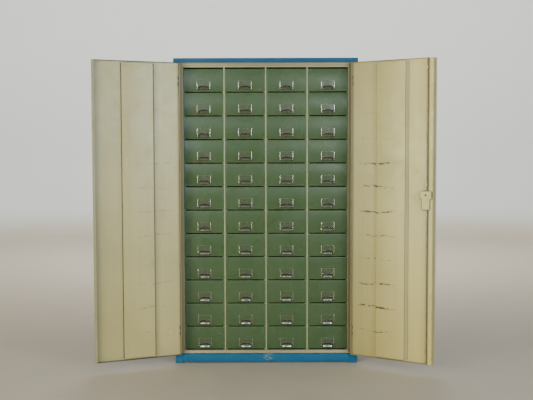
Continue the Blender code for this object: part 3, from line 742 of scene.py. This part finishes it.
def make_drawers():
    """Every drawer as a box, a pull and a label plate that slide together."""
    base = FRONT_FOOT + PULL_RISE
    bm = new_mesh()
    drawer_front(bm)
    drawer_tray(bm)
    box = finished("drawer", bm, [GREEN])
    bm = new_mesh()
    cup(bm, base)
    label_frame(bm, base)
    for way in (-1, 1):
        rivet = (way * (LABEL_WIDTH / 2 - 4.5 * MM), -1.9 * MM, base + 7 * MM)
        round_head(bm, rivet, (0, -1, 0), 2.2 * MM)
    pull = finished("pull", bm, [NICKEL, DARK_NICKEL], cup_or_frame, 50.0)
    bm = new_mesh()
    pull_plate(bm, base)
    label = finished("label", bm, [PLATE])
    for node in DRAWERS:
        low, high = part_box(node)
        place = Vector(((low.x + high.x) / 2, low.y + CUP_REACH, low.z - FRONT_FOOT))
        attach(copy_to(box, node + "_box", place), node, [node])
        attach(copy_to(pull, node + "_pull", place), node)
        attach(copy_to(label, node + "_label_plate", place), node)
    for template in (box, pull, label):
        bpy.data.objects.remove(template, do_unlink=True)


# ---- cabinet ------------------------------------------------------------------------------------
def outside_or_in(centre, normal):
    """Blue on the outside of the cabinet; on the stop and inside it, cream darkened by grime and
    painted shade, more on the right; painted shade, dark, on the knuckles.
    """
    # Painted shade: the knuckles and the leaf fronts are dark, standing in for a shaded slot.
    if centre.y < FRONT_Y - 0.1 * MM and abs(centre.x) < JAMB_X + KNUCKLE_RADIUS:
        return 3
    behind_front = centre.y > FRONT_Y + SHEET - 0.1 * MM
    inside = abs(centre.x) < HALF_WIDTH - SHEET + 0.1 * MM and centre.y < BACK_Y - SHEET + 0.1 * MM
    if not behind_front or not inside:
        return 0
    return 1 if centre.x < 0 else 2


def plan(u, v, t):
    """A section in plan, carried upwards."""
    return (u, v, t)


def profile_x(u, v, t):
    """A section in depth and height, carried across."""
    return (t, u, v)


def cabinet_sides():
    """Each side, jamb and stop is one folded sheet."""
    bm = new_mesh()
    for way in (-1, 1):
        edge = HALF_WIDTH - SHEET / 2
        jamb = JAMB_X + SHEET / 2
        path = [(way * STOP_X, STOP_Y), (way * jamb, STOP_Y),
                (way * jamb, FRONT_Y + SHEET / 2), (way * edge, FRONT_Y + SHEET / 2),
                (way * edge, BACK_Y - SHEET / 2), (way * (edge - 18 * MM), BACK_Y - SHEET / 2)]
        sweep(bm, bent_sheet(path, radius=2.4 * MM), plan, PLINTH + 0.5 * MM, BAR_BOTTOM - 0.4 * MM)
        for height in PIN_HEIGHTS:
            jamb_hinge(bm, way, height)
    return finished("cabinet_sides", bm, [BLUE, *JAMB_GRIME_AND_SHADE, DEEP_SHADE_ENAMEL], outside_or_in)


def jamb_hinge(bm, way, height):
    """The fixed knuckles of one hinge and their leaf on the jamb."""
    x = way * RIGHT_HINGE.x
    y = RIGHT_HINGE.y
    ends = 1.5 * KNUCKLE
    for low in (height - ends, height + KNUCKLE / 2 + KNUCKLE_PLAY / 2):
        turned(bm, knuckle(KNUCKLE - KNUCKLE_PLAY / 2), (x, y, low), (0, 0, 1), 28)
    leaf = (way * (JAMB_X + 1.2 * MM), way * (JAMB_X - 0.6 * MM))
    block(bm, leaf, (FRONT_Y - 1 * MM, FRONT_Y + 24 * MM), (height - ends, height + ends), 0.4 * MM)
    for z in (height - 0.9 * KNUCKLE, height + 0.9 * KNUCKLE):
        round_head(bm, (way * (JAMB_X - 0.6 * MM), FRONT_Y + 14 * MM, z), (-way, 0, 0), 3 * MM)


def cabinet_back():
    """The back sheet between the folded sides, with a shallow raised panel."""
    bm = new_mesh()
    edge = HALF_WIDTH - 2 * SHEET
    face = BACK_Y - SHEET - 0.1 * MM
    levels = ((0.0, face - 1.2 * MM), (0.0, face), (60 * MM, face), (66 * MM, face + 1.3 * MM),
              (70 * MM, face + 1.5 * MM))
    loops = []
    for shrink, y in levels:
        outline = rounded_rectangle((-edge + shrink, edge - shrink),
                                    (PLINTH + shrink, BAR_BOTTOM - shrink), 2 * MM + shrink / 3)
        loops.append([(u, y, v) for u, v in outline])
    loft(bm, loops, [0.0, 0.0, 0.0, 0.6, 0.0])
    weld = [(0, 3.2 * MM), (0.25 * MM, 3.0 * MM), (0.3 * MM, 2.0 * MM)]
    welds = 14
    lowest = 0.13
    pitch = 0.134
    for way in (-1, 1):
        for step in range(welds):
            place = (way * (HALF_WIDTH - 11 * MM), BACK_Y - 0.3 * MM, lowest + step * pitch)
            turned(bm, weld, place, (0, 1, 0), 12)
    return finished("cabinet_back", bm, [BLUE])


def cabinet_lid():
    """The top: a shallow pan turned down on all sides."""
    bm = new_mesh()
    roll = 4 * MM

    def ring(shrink, z):
        outline = rounded_rectangle((-HALF_WIDTH + shrink, HALF_WIDTH - shrink),
                                    (FRONT_Y + shrink, BACK_Y - shrink),
                                    max(5 * MM - shrink, 1 * MM))
        return [(u, v, z) for u, v in outline]

    loops = [ring(2 * SHEET, HEIGHT - SHEET), ring(SHEET, HEIGHT - 2 * SHEET),
             ring(SHEET, BAR_BOTTOM), ring(0.2 * MM, BAR_BOTTOM), ring(0.0, BAR_BOTTOM + 0.3 * MM)]
    worn = [0.0, 0.0, 0.0, 0.6, 0.0]
    steps = 5
    for step in range(steps + 1):
        turn = math.radians(90 * step / steps)
        loops.append(ring(roll * (1 - math.cos(turn)), HEIGHT - roll * (1 - math.sin(turn))))
        worn.append(1.0 if 0 < step < steps else 0.0)
    loft(bm, loops, worn)
    return finished("cabinet_lid", bm, [BLUE])


def cabinet_plinth():
    """The plinth's front between two corner shoes that wrap round the sides."""
    bm = new_mesh()
    face = FRONT_Y + SHEET / 2
    under = PLINTH_GAP + SHEET / 2
    front = [(FRONT_Y + 28 * MM, PLINTH - SHEET / 2), (face, PLINTH - SHEET / 2), (face, under),
             (FRONT_Y + 28 * MM, under)]
    sweep(bm, bent_sheet(front, radius=2.6 * MM), profile_x, -SHOE_X, SHOE_X)
    edge = HALF_WIDTH - SHEET / 2
    for way in (-1, 1):
        shoe = [(way * (SHOE_X + 0.7 * MM), face + 0.3 * MM), (way * edge, face + 0.3 * MM),
                (way * edge, BACK_Y - SHEET / 2)]
        sweep(bm, bent_sheet(shoe, radius=3 * MM), plan, 0.0, PLINTH)
    block(bm, BETWEEN_SIDES, (BACK_Y - SHEET, BACK_Y), (0, PLINTH - 0.4 * MM))
    block(bm, BETWEEN_SIDES, (FRONT_Y + 3 * MM, BACK_Y - SHEET),
          (PLINTH - SHEET, PLINTH - 0.1 * MM), 0.3 * MM)
    return finished("cabinet_plinth", bm, [BLUE])


def cabinet_stop():
    """Header and sill, the folded strips that the doors close against."""
    bm = new_mesh()
    step_z = BAR_BOTTOM - 9 * MM
    header = [(FRONT_Y + 3 * MM, BAR_BOTTOM - SHEET / 2), (STOP_Y, BAR_BOTTOM - SHEET / 2),
              (STOP_Y, step_z), (STOP_Y + 9 * MM, step_z - 8 * MM),
              (STOP_Y + 9 * MM, HEADER_BOTTOM + SHEET / 2),
              (STOP_Y + 19 * MM, HEADER_BOTTOM + SHEET / 2)]
    sweep(bm, bent_sheet(header, 1.2 * MM, 1.2 * MM), profile_x, -JAMB_X, JAMB_X)
    sill = [(FRONT_Y + 3 * MM, PLINTH + SHEET / 2), (STOP_Y, PLINTH + SHEET / 2),
            (STOP_Y, SILL_TOP - SHEET / 2), (STOP_Y + 17 * MM, SILL_TOP - SHEET / 2)]
    sweep(bm, bent_sheet(sill, radius=5 * MM), profile_x, -JAMB_X, JAMB_X)
    return finished("cabinet_stop", bm, [STOP_ENAMEL, BLUE],
                    lambda centre, normal: 1 if centre.z < PLINTH + 2 * MM else 0)


def make_cabinet():
    """The shell that replaces the CAD shell."""
    attach(cabinet_sides(), "root", ["cabinet_shell"])
    attach(cabinet_back(), "root")
    attach(cabinet_lid(), "root")
    attach(cabinet_plinth(), "root")
    attach(cabinet_stop(), "root")


# ---- uprights -----------------------------------------------------------------------------------
def upright_edge(bm, x, sides):
    """The rounded front edge of an upright, with a small tab at every row boundary."""
    half = DIVIDER_WIDTH / 2 - 1.1 * MM
    face = RACK_LOW.y + 0.5 * MM
    path = [(x - half, face + 9 * MM), (x - half, face), (x + half, face),
            (x + half, face + 9 * MM)]
    sweep(bm, bent_sheet(path, 1.0 * MM, 1.9 * MM), plan, RACK_LOW.z, RACK_HIGH.z)
    for row in range(ROWS):
        z = ROWS_BOTTOM + row * ROW_PITCH
        for way in sides:
            near = x + way * (half + 0.1 * MM)
            block(bm, (near, near + way * 8.6 * MM), (face + 5 * MM, face + 6.2 * MM),
                  (z - 2.3 * MM, z + 2.0 * MM), 0.4 * MM)


def upright_web(bm, x, sides):
    """The web, with a folded runner for each row on its sides."""
    block(bm, (x - SHEET / 2, x + SHEET / 2), (RACK_LOW.y + SHEET, RACK_HIGH.y),
          (RACK_LOW.z + 0.1 * MM, RACK_HIGH.z - 0.1 * MM), 0.3 * MM)
    for way in sides:
        for row in range(ROWS):
            top = ROWS_BOTTOM + row * ROW_PITCH + LEDGE_TOP - 0.6 * MM
            near = x + way * (SHEET / 2 + 0.6 * MM)
            path = [(near, top - 12 * MM), (near, top),
                    (near + way * (LEDGE_WIDTH - 0.6 * MM), top)]
            section = bent_sheet(path, 1.2 * MM, 1.5 * MM, 3)
            sweep(bm, section, lambda u, v, t: (u, t, v), RACK_LOW.y + 6.8 * MM, RACK_HIGH.y)


def make_uprights():
    """The five uprights, and the sheets and brackets that hold them."""
    for index, node in enumerate(UPRIGHTS):
        x = (index - COLUMNS / 2) * COLUMN_PITCH
        sides = [way for way in (-1, 1) if 0 <= index + (way - 1) // 2 < COLUMNS]
        bm = new_mesh()
        upright_edge(bm, x, sides)
        upright_web(bm, x, sides)
        attach(finished(node + "_sheet", bm, [RACK_ENAMEL]), "root", [node])
    bm = new_mesh()
    block(bm, BETWEEN_SIDES, (STOP_Y + 5 * MM, BACK_Y - 2 * SHEET),
          (RACK_HIGH.z + 0.3 * MM, RACK_HIGH.z + 0.3 * MM + SHEET), 0.3 * MM)
    beside = COLUMNS / 2 * COLUMN_PITCH + SHEET
    for way in (-1, 1):
        for height in (HEIGHT / 4, HEIGHT * 3 / 4):
            block(bm, (way * beside, way * (HALF_WIDTH - SHEET)), (-15 * MM, 15 * MM),
                  (height, height + SHEET), 0.3 * MM)
    attach(finished("cabinet_inner_sheets", bm, [CREAM]), "root")


# ---- doors: made closed about their hinge axis, then turned; s runs to the free edge ------------
def door_section(way):
    """Places a section in (s, depth), carried upwards, on the left (-1) or right (1) door."""
    return lambda s, y, z: (-way * s, y, z)


def hang(obj, way, body, nodes=()):
    """Attach a piece of a closed door after turning it to where the open door stands."""
    hinge = RIGHT_HINGE if way > 0 else LEFT_HINGE
    angle = RIGHT_OPEN if way > 0 else -LEFT_OPEN
    obj.matrix_world = Matrix.Translation((hinge.x, hinge.y, 0)) @ Matrix.Rotation(angle, 4, "Z")
    attach(obj, body, nodes)


def door_pan(way, reach, cream):
    """The skin and its four folded edges, notched at the fixed knuckles."""
    bm = new_mesh()
    roll = 2.5 * MM

    def ring(shrink, y, corner):
        outline = rounded_rectangle((DOOR_START + shrink, reach - shrink),
                                    (DOOR_BOTTOM + shrink, DOOR_TOP - shrink), corner)
        return [(-way * s, y, z) for s, z in outline]

    inner = SKIN + SHEET
    loops = [ring(30 * MM, inner, 1 * MM), ring(SHEET + 1 * MM, inner, 1 * MM),
             ring(SHEET, inner + 1 * MM, 1 * MM), ring(SHEET, DOOR_CROWN, 1 * MM),
             ring(0.0, DOOR_CROWN, 2 * MM), ring(0.0, SKIN + roll, 2 * MM)]
    worn = [0.0, 0.0, 0.3, 0.5, 0.5, 0.0]
    steps = 4
    for step in range(1, steps + 1):
        turn = math.radians(90 * step / steps)
        y = SKIN + roll * (1 - math.sin(turn))
        loops.append(ring(roll * (1 - math.cos(turn)), y, 2.6 * MM))
        worn.append(1.0 if step < steps else 0.0)
    loops.append(ring(40 * MM, SKIN, 2.6 * MM))
    worn.append(0.0)
    loft(bm, loops, worn)

    # Painted shade: inside the door the hinge-side wall and the top and bottom folds take a darker
    # cream, darkest on the left door.
    def pick(centre, normal):
        at_ends = not DOOR_BOTTOM + 4 * MM < centre.z < DOOR_TOP - 4 * MM
        at_hinge = -way * normal.x > 0.9 and abs(centre.x) < 6 * MM
        if centre.y > SKIN + SHEET and (at_hinge or at_ends):
            return 2
        return 1 if normal.y < -0.95 and centre.y < SKIN + 0.3 * MM else 0

    fold = HALF_SHADE_ENAMEL if way > 0 else DEEP_SHADE_ENAMEL
    pan = finished(DOOR_NAMES[way] + "_pan", bm, [cream, BLUE, fold], pick)
    swing = KNUCKLE_RADIUS + KNUCKLE_PLAY
    notches = []
    for height in PIN_HEIGHTS:
        for side in (-1, 1):
            notches.append(((-swing, swing), (-swing, swing + 1 * MM),
                            (height + side * (KNUCKLE - KNUCKLE_PLAY) / 2,
                             height + side * (1.5 * KNUCKLE + KNUCKLE_PLAY))))
    if way > 0:
        room = ROD_RADIUS + 1.2 * MM
        for z in (DOOR_BOTTOM, DOOR_TOP):
            notches.append(((-LOCK_REACH - room, -LOCK_REACH + room),
                            (ROD_DEPTH - room, ROD_DEPTH + room), (z - 5 * MM, z + 5 * MM)))
    return cut_away(pan, notches)


def door_hat(way, cream):
    """The broad pressed stiffener with a welding flange along each side."""
    bm = new_mesh()
    foot = SKIN + SHEET + 0.6 * MM
    crown = SKIN + SHEET + HAT_RISE - 0.6 * MM
    start, crown_start, crown_end, end = HAT[way]
    path = [(start - HAT_FLANGE, foot), (start, foot), (crown_start, crown), (crown_end, crown),
            (end, foot), (end + HAT_FLANGE, foot)]
    sweep(bm, bent_sheet(path, 1.2 * MM, 3 * MM), door_section(way), DOOR_BOTTOM + HAT_END_GAP,
          DOOR_TOP - HAT_END_GAP)

    # Painted shade: on the right door, dark lines along the folds, a dark inner slope and a darker
    # outer slope; on the left door, darker slopes, the outer one darkest.
    def pick(centre, normal):
        to_bend = min(abs(abs(centre.x) - bend) for bend in (start, crown_end, end))
        if way > 0 and to_bend < 2.6 * MM:
            return 1
        if normal.y > 0.9:
            return 0
        if crown_end < abs(centre.x) < end:
            return 2
        return 1 if start < abs(centre.x) < crown_start else 0

    shades = (DEEP_SHADE_ENAMEL, SHADED_SLOPE) if way > 0 else (HALF_SHADE_ENAMEL, DEEP_SHADE_ENAMEL)
    return finished(DOOR_NAMES[way] + "_stiffener", bm, [cream, *shades], pick)


def door_hinges(way, cream):
    """The door's knuckle and screwed leaf at each hinge."""
    bm = new_mesh()
    length = KNUCKLE - KNUCKLE_PLAY
    for height in PIN_HEIGHTS:
        turned(bm, knuckle(length), (0, 0, height - length / 2), (0, 0, 1), 28)
        ends = 1.5 * KNUCKLE
        s = (KNUCKLE_RADIUS + 2.5 * MM, LEAF_REACH)
        outline = rounded_rectangle(s, (height - ends, height + ends), 3 * MM)
        face = SKIN + SHEET
        if way > 0:
            outline = [(-u, v) for u, v in outline][::-1]
        plate(bm, outline, lambda u, v, w: (u, w, v), face - 0.2 * MM, face + 1.6 * MM)
        block(bm, (-way * 1 * MM, -way * (s[0] + 2 * MM)), (face - 1.4 * MM, face + 1.4 * MM),
              (height - length / 2, height + length / 2), 0.4 * MM)
        for z in (height - 1.1 * KNUCKLE, height, height + 1.1 * KNUCKLE):
            offset = 6 * MM if z == height else 0.0
            screw = (-way * (LEAF_REACH - 9 * MM - offset), face + 1.5 * MM, z)
            round_head(bm, screw, (0, 1, 0), 3.2 * MM)
    return finished(DOOR_NAMES[way] + "_hinges", bm, [cream])


def left_door_lip(cream):
    """The free edge folded back over itself."""
    bm = new_mesh()
    edge = LEFT_REACH - SHEET - 0.6 * MM
    path = [(edge, SKIN + 4 * MM), (edge, DOOR_CROWN - 0.6 * MM),
            (LEFT_REACH - LEFT_LIP, DOOR_CROWN - 0.6 * MM)]
    sweep(bm, bent_sheet(path, 1.2 * MM, 1.6 * MM), door_section(-1), *PAN_INSIDE)
    return finished("left_door_lip", bm, [cream])


def right_door_stile(cream):
    """The box section along the lock side, cut for the cam and the bolt."""
    bm = new_mesh()
    edge = RIGHT_REACH - SHEET - 0.6 * MM
    foot = SKIN + SHEET + 0.6 * MM
    crown = DOOR_CROWN - 0.6 * MM
    path = [(STILE_START - 10.5 * MM, foot), (STILE_START - 7.5 * MM, foot),
            (STILE_START + 0.6 * MM, crown), (edge, crown), (edge, SKIN + 5 * MM)]
    sweep(bm, bent_sheet(path, 1.2 * MM, 1.8 * MM), door_section(1), *PAN_INSIDE)
    # Painted shade: the stile's wall towards the hinge takes the greyer, darker strip enamel.
    return finished("right_door_stile", bm, [cream, EDGE],
                    lambda centre, normal: 1 if abs(centre.x) < STILE_START + 1 * MM else 0)


def right_door_strip():
    """The hemmed strip that covers the gap between the doors."""
    bm = new_mesh()
    face = SKIN - 1.25 * MM
    path = [(RIGHT_REACH - 10 * MM, face), (RIGHT_REACH + 11 * MM, face)]
    sweep(bm, bent_sheet(path, 1.5 * MM), door_section(1), DOOR_BOTTOM, DOOR_TOP)
    hem = [(RIGHT_REACH + 4 * MM, face - 1.3 * MM), (RIGHT_REACH + 11.3 * MM, face - 1.3 * MM),
           (RIGHT_REACH + 11.3 * MM, face)]
    sweep(bm, bent_sheet(hem, 1.2 * MM, 0.6 * MM), door_section(1), DOOR_BOTTOM, DOOR_TOP)
    return finished("right_door_strip", bm, [EDGE, BLUE], lambda c, n: 1 if n.y < -0.5 else 0)


def rod_guides(cream):
    """Saddles that hold the lock rods, each with one screw."""
    bm = new_mesh()
    place = door_section(1)
    top = ROD_DEPTH + ROD_RADIUS + 1.2 * MM
    foot = SKIN + SHEET + 0.6 * MM
    wing = ROD_RADIUS + 1.2 * MM
    for height in GUIDE_HEIGHTS:
        path = [(LOCK_REACH - 15 * MM, foot), (LOCK_REACH - wing, foot), (LOCK_REACH - wing, top),
                (LOCK_REACH + wing, top), (LOCK_REACH + wing, foot)]
        sweep(bm, bent_sheet(path, 1.2 * MM, 2 * MM), place, height - 6 * MM, height + 6 * MM)
        round_head(bm, place(LOCK_REACH - 11 * MM, foot + 0.6 * MM, height), (0, 1, 0), 2.4 * MM)
    return finished("rod_guides", bm, [cream])


def make_doors():
    """Both doors, and what only one of them has: a folded lip, or the stile, strip and guides."""
    for way, reach, cream in ((-1, LEFT_REACH, CREAM_LEFT), (1, RIGHT_REACH, CREAM_RIGHT)):
        body = DOOR_NAMES[way]
        hang(door_pan(way, reach, cream), way, body, [body])
        hang(door_hat(way, cream), way, body)
        hang(door_hinges(way, cream), way, body)
    hang(left_door_lip(LIP), -1, "left_door")
    stile = right_door_stile(CREAM_RIGHT)
    lock_z = LOCK_POINT.z
    window = ((-STILE_START - 3 * MM, -STILE_START + 7 * MM), (SKIN + 3 * MM, DOOR_CROWN - 3 * MM),
              (lock_z - 16 * MM, lock_z + 16 * MM))
    slot = ((-RIGHT_REACH - 2 * MM, -RIGHT_REACH + 4 * MM),
            (ROD_DEPTH - 6 * MM, ROD_DEPTH + 6 * MM), (lock_z - 23 * MM, lock_z + 23 * MM))
    cut_away(stile, [window, slot])
    hang(stile, 1, "right_door")
    cut_away(bpy.data.objects["right_door_pan"], [slot])
    hang(right_door_strip(), 1, "right_door")
    hang(rod_guides(CREAM_RIGHT), 1, "right_door")


# ---- lock ---------------------------------------------------------------------------------------
def case_outline():
    """The lock case: a wide head with round shoulders over a narrower body."""
    head = 36 * MM
    body = 25 * MM
    top = 23.5 * MM
    corner = 12 * MM
    foot = top + 66 * MM
    points = [(-body, -foot), (body, -foot), (body, -top), (head, -top)]
    points += arc((head - corner, top - corner), corner, 0, 90, 6)
    points += arc((-head + corner, top - corner), corner, 90, 180, 6)
    points += [(-head, -top), (-body, -top)]
    return points


def at_lock(x, y, z):
    """A point of the closed right door, measured from the lock's spindle on the hinge plane."""
    return (-LOCK_REACH + x, y, LOCK_POINT.z + z)


def make_lock_case():
    """The case on a dark rim that paints its shadow, the latch block beside it, and the collar
    round a near-black disc that paints its hole's shade.
    """
    bm = new_mesh()
    back = DOOR_CROWN + 0.3 * MM
    plate(bm, case_outline(), lambda u, v, w: at_lock(u, w, v), back, back + 5 * MM, 1.2 * MM)
    rim = inset(case_outline(), -4.5 * MM)
    plate(bm, rim, lambda u, v, w: at_lock(u, w, v), back - 0.2 * MM, back + 0.5 * MM, 0.2 * MM)
    block(bm, (-LOCK_REACH - 43.5 * MM, -LOCK_REACH - 35 * MM), (back - 0.2 * MM, back + 1.4 * MM),
          (LOCK_POINT.z - 22 * MM, LOCK_POINT.z + 22 * MM), 0.4 * MM)
    block(bm, (-LOCK_REACH + 23.5 * MM, -LOCK_REACH + 25 * MM),
          (SKIN + SHEET + 0.3 * MM, back + 1 * MM),
          (LOCK_POINT.z - 88 * MM, LOCK_POINT.z + 22 * MM), 0.4 * MM)
    for x, z in ((-26, 0), (26, 0), (-17, -78), (17, -78)):
        round_head(bm, at_lock(x * MM, back + 4.9 * MM, z * MM), (0, 1, 0), 3 * MM)

    # Painted shadow: the rim and the case's back edge are dark; the latch block is dark too.
    def pick(centre, normal):
        latch = centre.x < -LOCK_REACH - 34 * MM and centre.y < back + 2 * MM
        return 1 if latch or centre.y < back + 0.6 * MM else 0

    case = finished("lock_case_cover", bm, [CREAM_RIGHT, RIM_SHADOW_AND_LATCH], pick)
    hang(case, 1, "right_door", ["lock_case"])
    bm = new_mesh()
    middle = Vector(at_lock(0, back + 5.1 * MM, 0))
    profile = [(0, 7.5 * MM), (0.9 * MM, 7.5 * MM), (1.3 * MM, 6.8 * MM), (1.3 * MM, 5.2 * MM),
               (0.2 * MM, 5.0 * MM)]
    turned(bm, profile, at_lock(0, back + 4.9 * MM, 0), (0, 1, 0), 28)
    # Painted shade: the collar's end disc is near black in place of a hole.
    collar = finished("lock_collar", bm, [GREASED, HOLE_SHADE],
                      lambda centre, normal: 1 if (centre - middle).length < 1 * MM else 0)
    hang(collar, 1, "right_door")


def make_handle():
    """Outside lever, its rose and spindle, and the cam inside the door."""
    bm = new_mesh()
    face = SKIN - 0.3 * MM
    rose = [(0, 18 * MM), (1.2 * MM, 18 * MM), (2.4 * MM, 16.5 * MM), (3 * MM, 13 * MM),
            (3 * MM, 7 * MM)]
    turned(bm, rose, at_lock(0, face, 0), (0, -1, 0), 36)
    neck = [(0, 8 * MM), (6 * MM, 6.4 * MM), (18 * MM, 6 * MM), (30 * MM, 7.4 * MM),
            (40 * MM, 7.4 * MM)]
    turned(bm, neck, at_lock(0, face, 0), (0, -1, 0), 28)
    loops = []
    grip = face - 36 * MM
    sides = 20
    stations = ((-9, 5.0, 3.5), (-8.4, 7.4, 5.2), (-6, 8.6, 6.0), (10, 9.0, 6.0), (50, 7.0, 4.6),
                (86, 8.2, 5.2), (93, 7.6, 4.8), (95.4, 5.6, 3.4), (96, 3.0, 1.8))
    for along, wide, thick in stations:
        ring = []
        for step in range(sides):
            turn = 2 * math.pi * step / sides
            across = math.copysign(abs(math.cos(turn)) ** 0.75, math.cos(turn))
            deep = math.copysign(abs(math.sin(turn)) ** 0.75, math.sin(turn))
            ring.append(at_lock(along * MM, grip + deep * thick * MM, across * wide * MM))
        loops.append(ring)
    loft(bm, loops)
    turned(bm, [(0, 5 * MM), (30 * MM, 5 * MM)], at_lock(0, face, 0), (0, 1, 0), 24)
    cam = [(0, 13.2 * MM), (0.5 * MM, 14 * MM), (3 * MM, 14 * MM), (3.5 * MM, 13.2 * MM)]
    turned(bm, cam, at_lock(0, ROD_DEPTH + ROD_RADIUS + 1.2 * MM, 0), (0, 1, 0), 36)
    handle = finished("lock_handle_lever", bm, [STEEL])
    hang(handle, 1, "lock_handle", ["lock_handle"])


def make_rods():
    """The two lock rods, with tapered ends."""
    for node, way in (("upper_lock_rod", 1), ("lower_lock_rod", -1)):
        low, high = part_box(node)
        length = high.z - low.z
        start = low.z if way > 0 else high.z
        bm = new_mesh()
        profile = [(0, ROD_RADIUS * 0.9), (0.5 * MM, ROD_RADIUS), (length - 12 * MM, ROD_RADIUS),
                   (length - 1.5 * MM, ROD_RADIUS * 0.62), (length, ROD_RADIUS * 0.4)]
        turned(bm, profile, (-LOCK_REACH, ROD_DEPTH, start), (0, 0, way), 24)
        hang(finished(node + "_bar", bm, [GREASED]), 1, node, [node])


def make_pins():
    """The four hinge pins, with a flat head above the upper knuckle."""
    for side, hinge in (("left", LEFT_HINGE), ("right", RIGHT_HINGE)):
        for level, height in zip(("lower", "upper"), PIN_HEIGHTS):
            start = height - 1.5 * KNUCKLE
            end = 3 * KNUCKLE + 2.5 * MM
            profile = [(0, 2 * MM), (0.8 * MM, 3 * MM), (end - 2.4 * MM, 3 * MM),
                       (end - 2.4 * MM, 3.8 * MM), (end - 0.8 * MM, 3.7 * MM), (end, 2.2 * MM)]
            bm = new_mesh()
            turned(bm, profile, (hinge.x, hinge.y, start), (0, 0, 1), 24)
            attach(finished(f"{side}_{level}_hinge_pin", bm, [STEEL]), "root")


# ---- studio -------------------------------------------------------------------------------------
def make_studio():
    """A plain pale floor that curves up into a round pale wall, open above."""
    bm = new_mesh()
    profile = [(1 * MM, 0.0), (2.0, 0.0)]
    profile += arc((WALL_DISTANCE - WALL_COVE, WALL_COVE), WALL_COVE, -90, 0, 12)
    profile.append((WALL_DISTANCE, WALL_HEIGHT))
    loops = []
    sides = 96
    turns = [math.tau * step / sides for step in range(sides)]
    for radius, z in profile:
        loops.append([(radius * math.cos(turn), radius * math.sin(turn), z) for turn in turns])
    loft(bm, loops, caps=False)
    look = Finish("studio")
    _, _, height = look.axes()
    speckle = look.remap(look.noise(3.0, 3.0), 0.3, 0.7)
    ground = look.mix(speckle, (0.600, 0.520, 0.410), (0.630, 0.550, 0.440))
    colour = look.mix(look.remap(height, 0.02, 0.5), ground, (0.800, 0.815, 0.810))
    studio = finished("studio", bm, [look.finish(colour, look.remap(speckle, 0.0, 1.0, 0.6, 0.7))])


def soft_light(name, place, target, size, power, colour):
    """A large rectangular light aimed at a point."""
    data = bpy.data.lights.new(name, "AREA")
    data.shape = "RECTANGLE"
    data.size, data.size_y = size
    data.energy = power
    data.color = colour
    obj = bpy.data.objects.new(name, data)
    obj.location = place
    obj.rotation_euler = (Vector(target) - Vector(place)).to_track_quat("-Z", "Y").to_euler()
    obj.visible_camera = False
    bpy.context.scene.collection.objects.link(obj)


LIGHTS = (
    ("left_window", (-4.8, -5.6, 1.4), (2.6, 2.4), 275, (1.00, 0.99, 0.76)),
    ("right_window", (4.2, -5.8, 2.1), (2.4, 1.8), 242, (0.56, 0.73, 1.0)),
    ("rear_window", (-2.1, -6.8, 2.6), (1.6, 1.2), 78, (0.80, 0.92, 1.0)),
    ("small_window", (0.95, -6.3, 2.25), (0.7, 1.0), 22, (0.85, 0.95, 1.0)),
    ("behind", (0.0, 5.5, 4.0), (3.0, 2.0), 80, (1.0, 1.0, 1.0)),
    ("wall_wash", (0.0, 3.6, 5.2), (8.0, 1.0), 400, (0.96, 1.0, 1.0)),
)


def make_lights():
    """The soft lights, all aimed at the cabinet but one, and a weak warm sky."""
    middle = (0.0, -0.2, 1.0)
    for name, place, size, power, colour in LIGHTS:
        target = (0.0, WALL_DISTANCE, 1.5) if name == "wall_wash" else middle
        soft_light(name, place, target, size, power, colour)
    world = bpy.data.worlds.new("studio")
    world.use_nodes = True
    world.node_tree.nodes["Background"].inputs["Color"].default_value = (1.0, 0.89, 0.73, 1.0)
    world.node_tree.nodes["Background"].inputs["Strength"].default_value = 0.29
    bpy.context.scene.world = world


def make_camera():
    """The photograph's view: nearly level, from close to the middle of the doors' opening."""
    data = bpy.data.cameras.new("camera")
    data.sensor_width = 36.0
    data.lens = 57.81
    obj = bpy.data.objects.new("camera", data)
    obj.location = (0.0045, -5.835, 1.395)
    obj.rotation_euler = (math.radians(90 - 3.25), math.radians(0.15), 0.0)
    bpy.context.scene.collection.objects.link(obj)
    bpy.context.scene.camera = obj


make_cabinet()
make_uprights()
make_drawers()
make_doors()
make_lock_case()
make_handle()
make_rods()
make_pins()
make_studio()
make_lights()
make_camera()

bpy.context.view_layer.update()
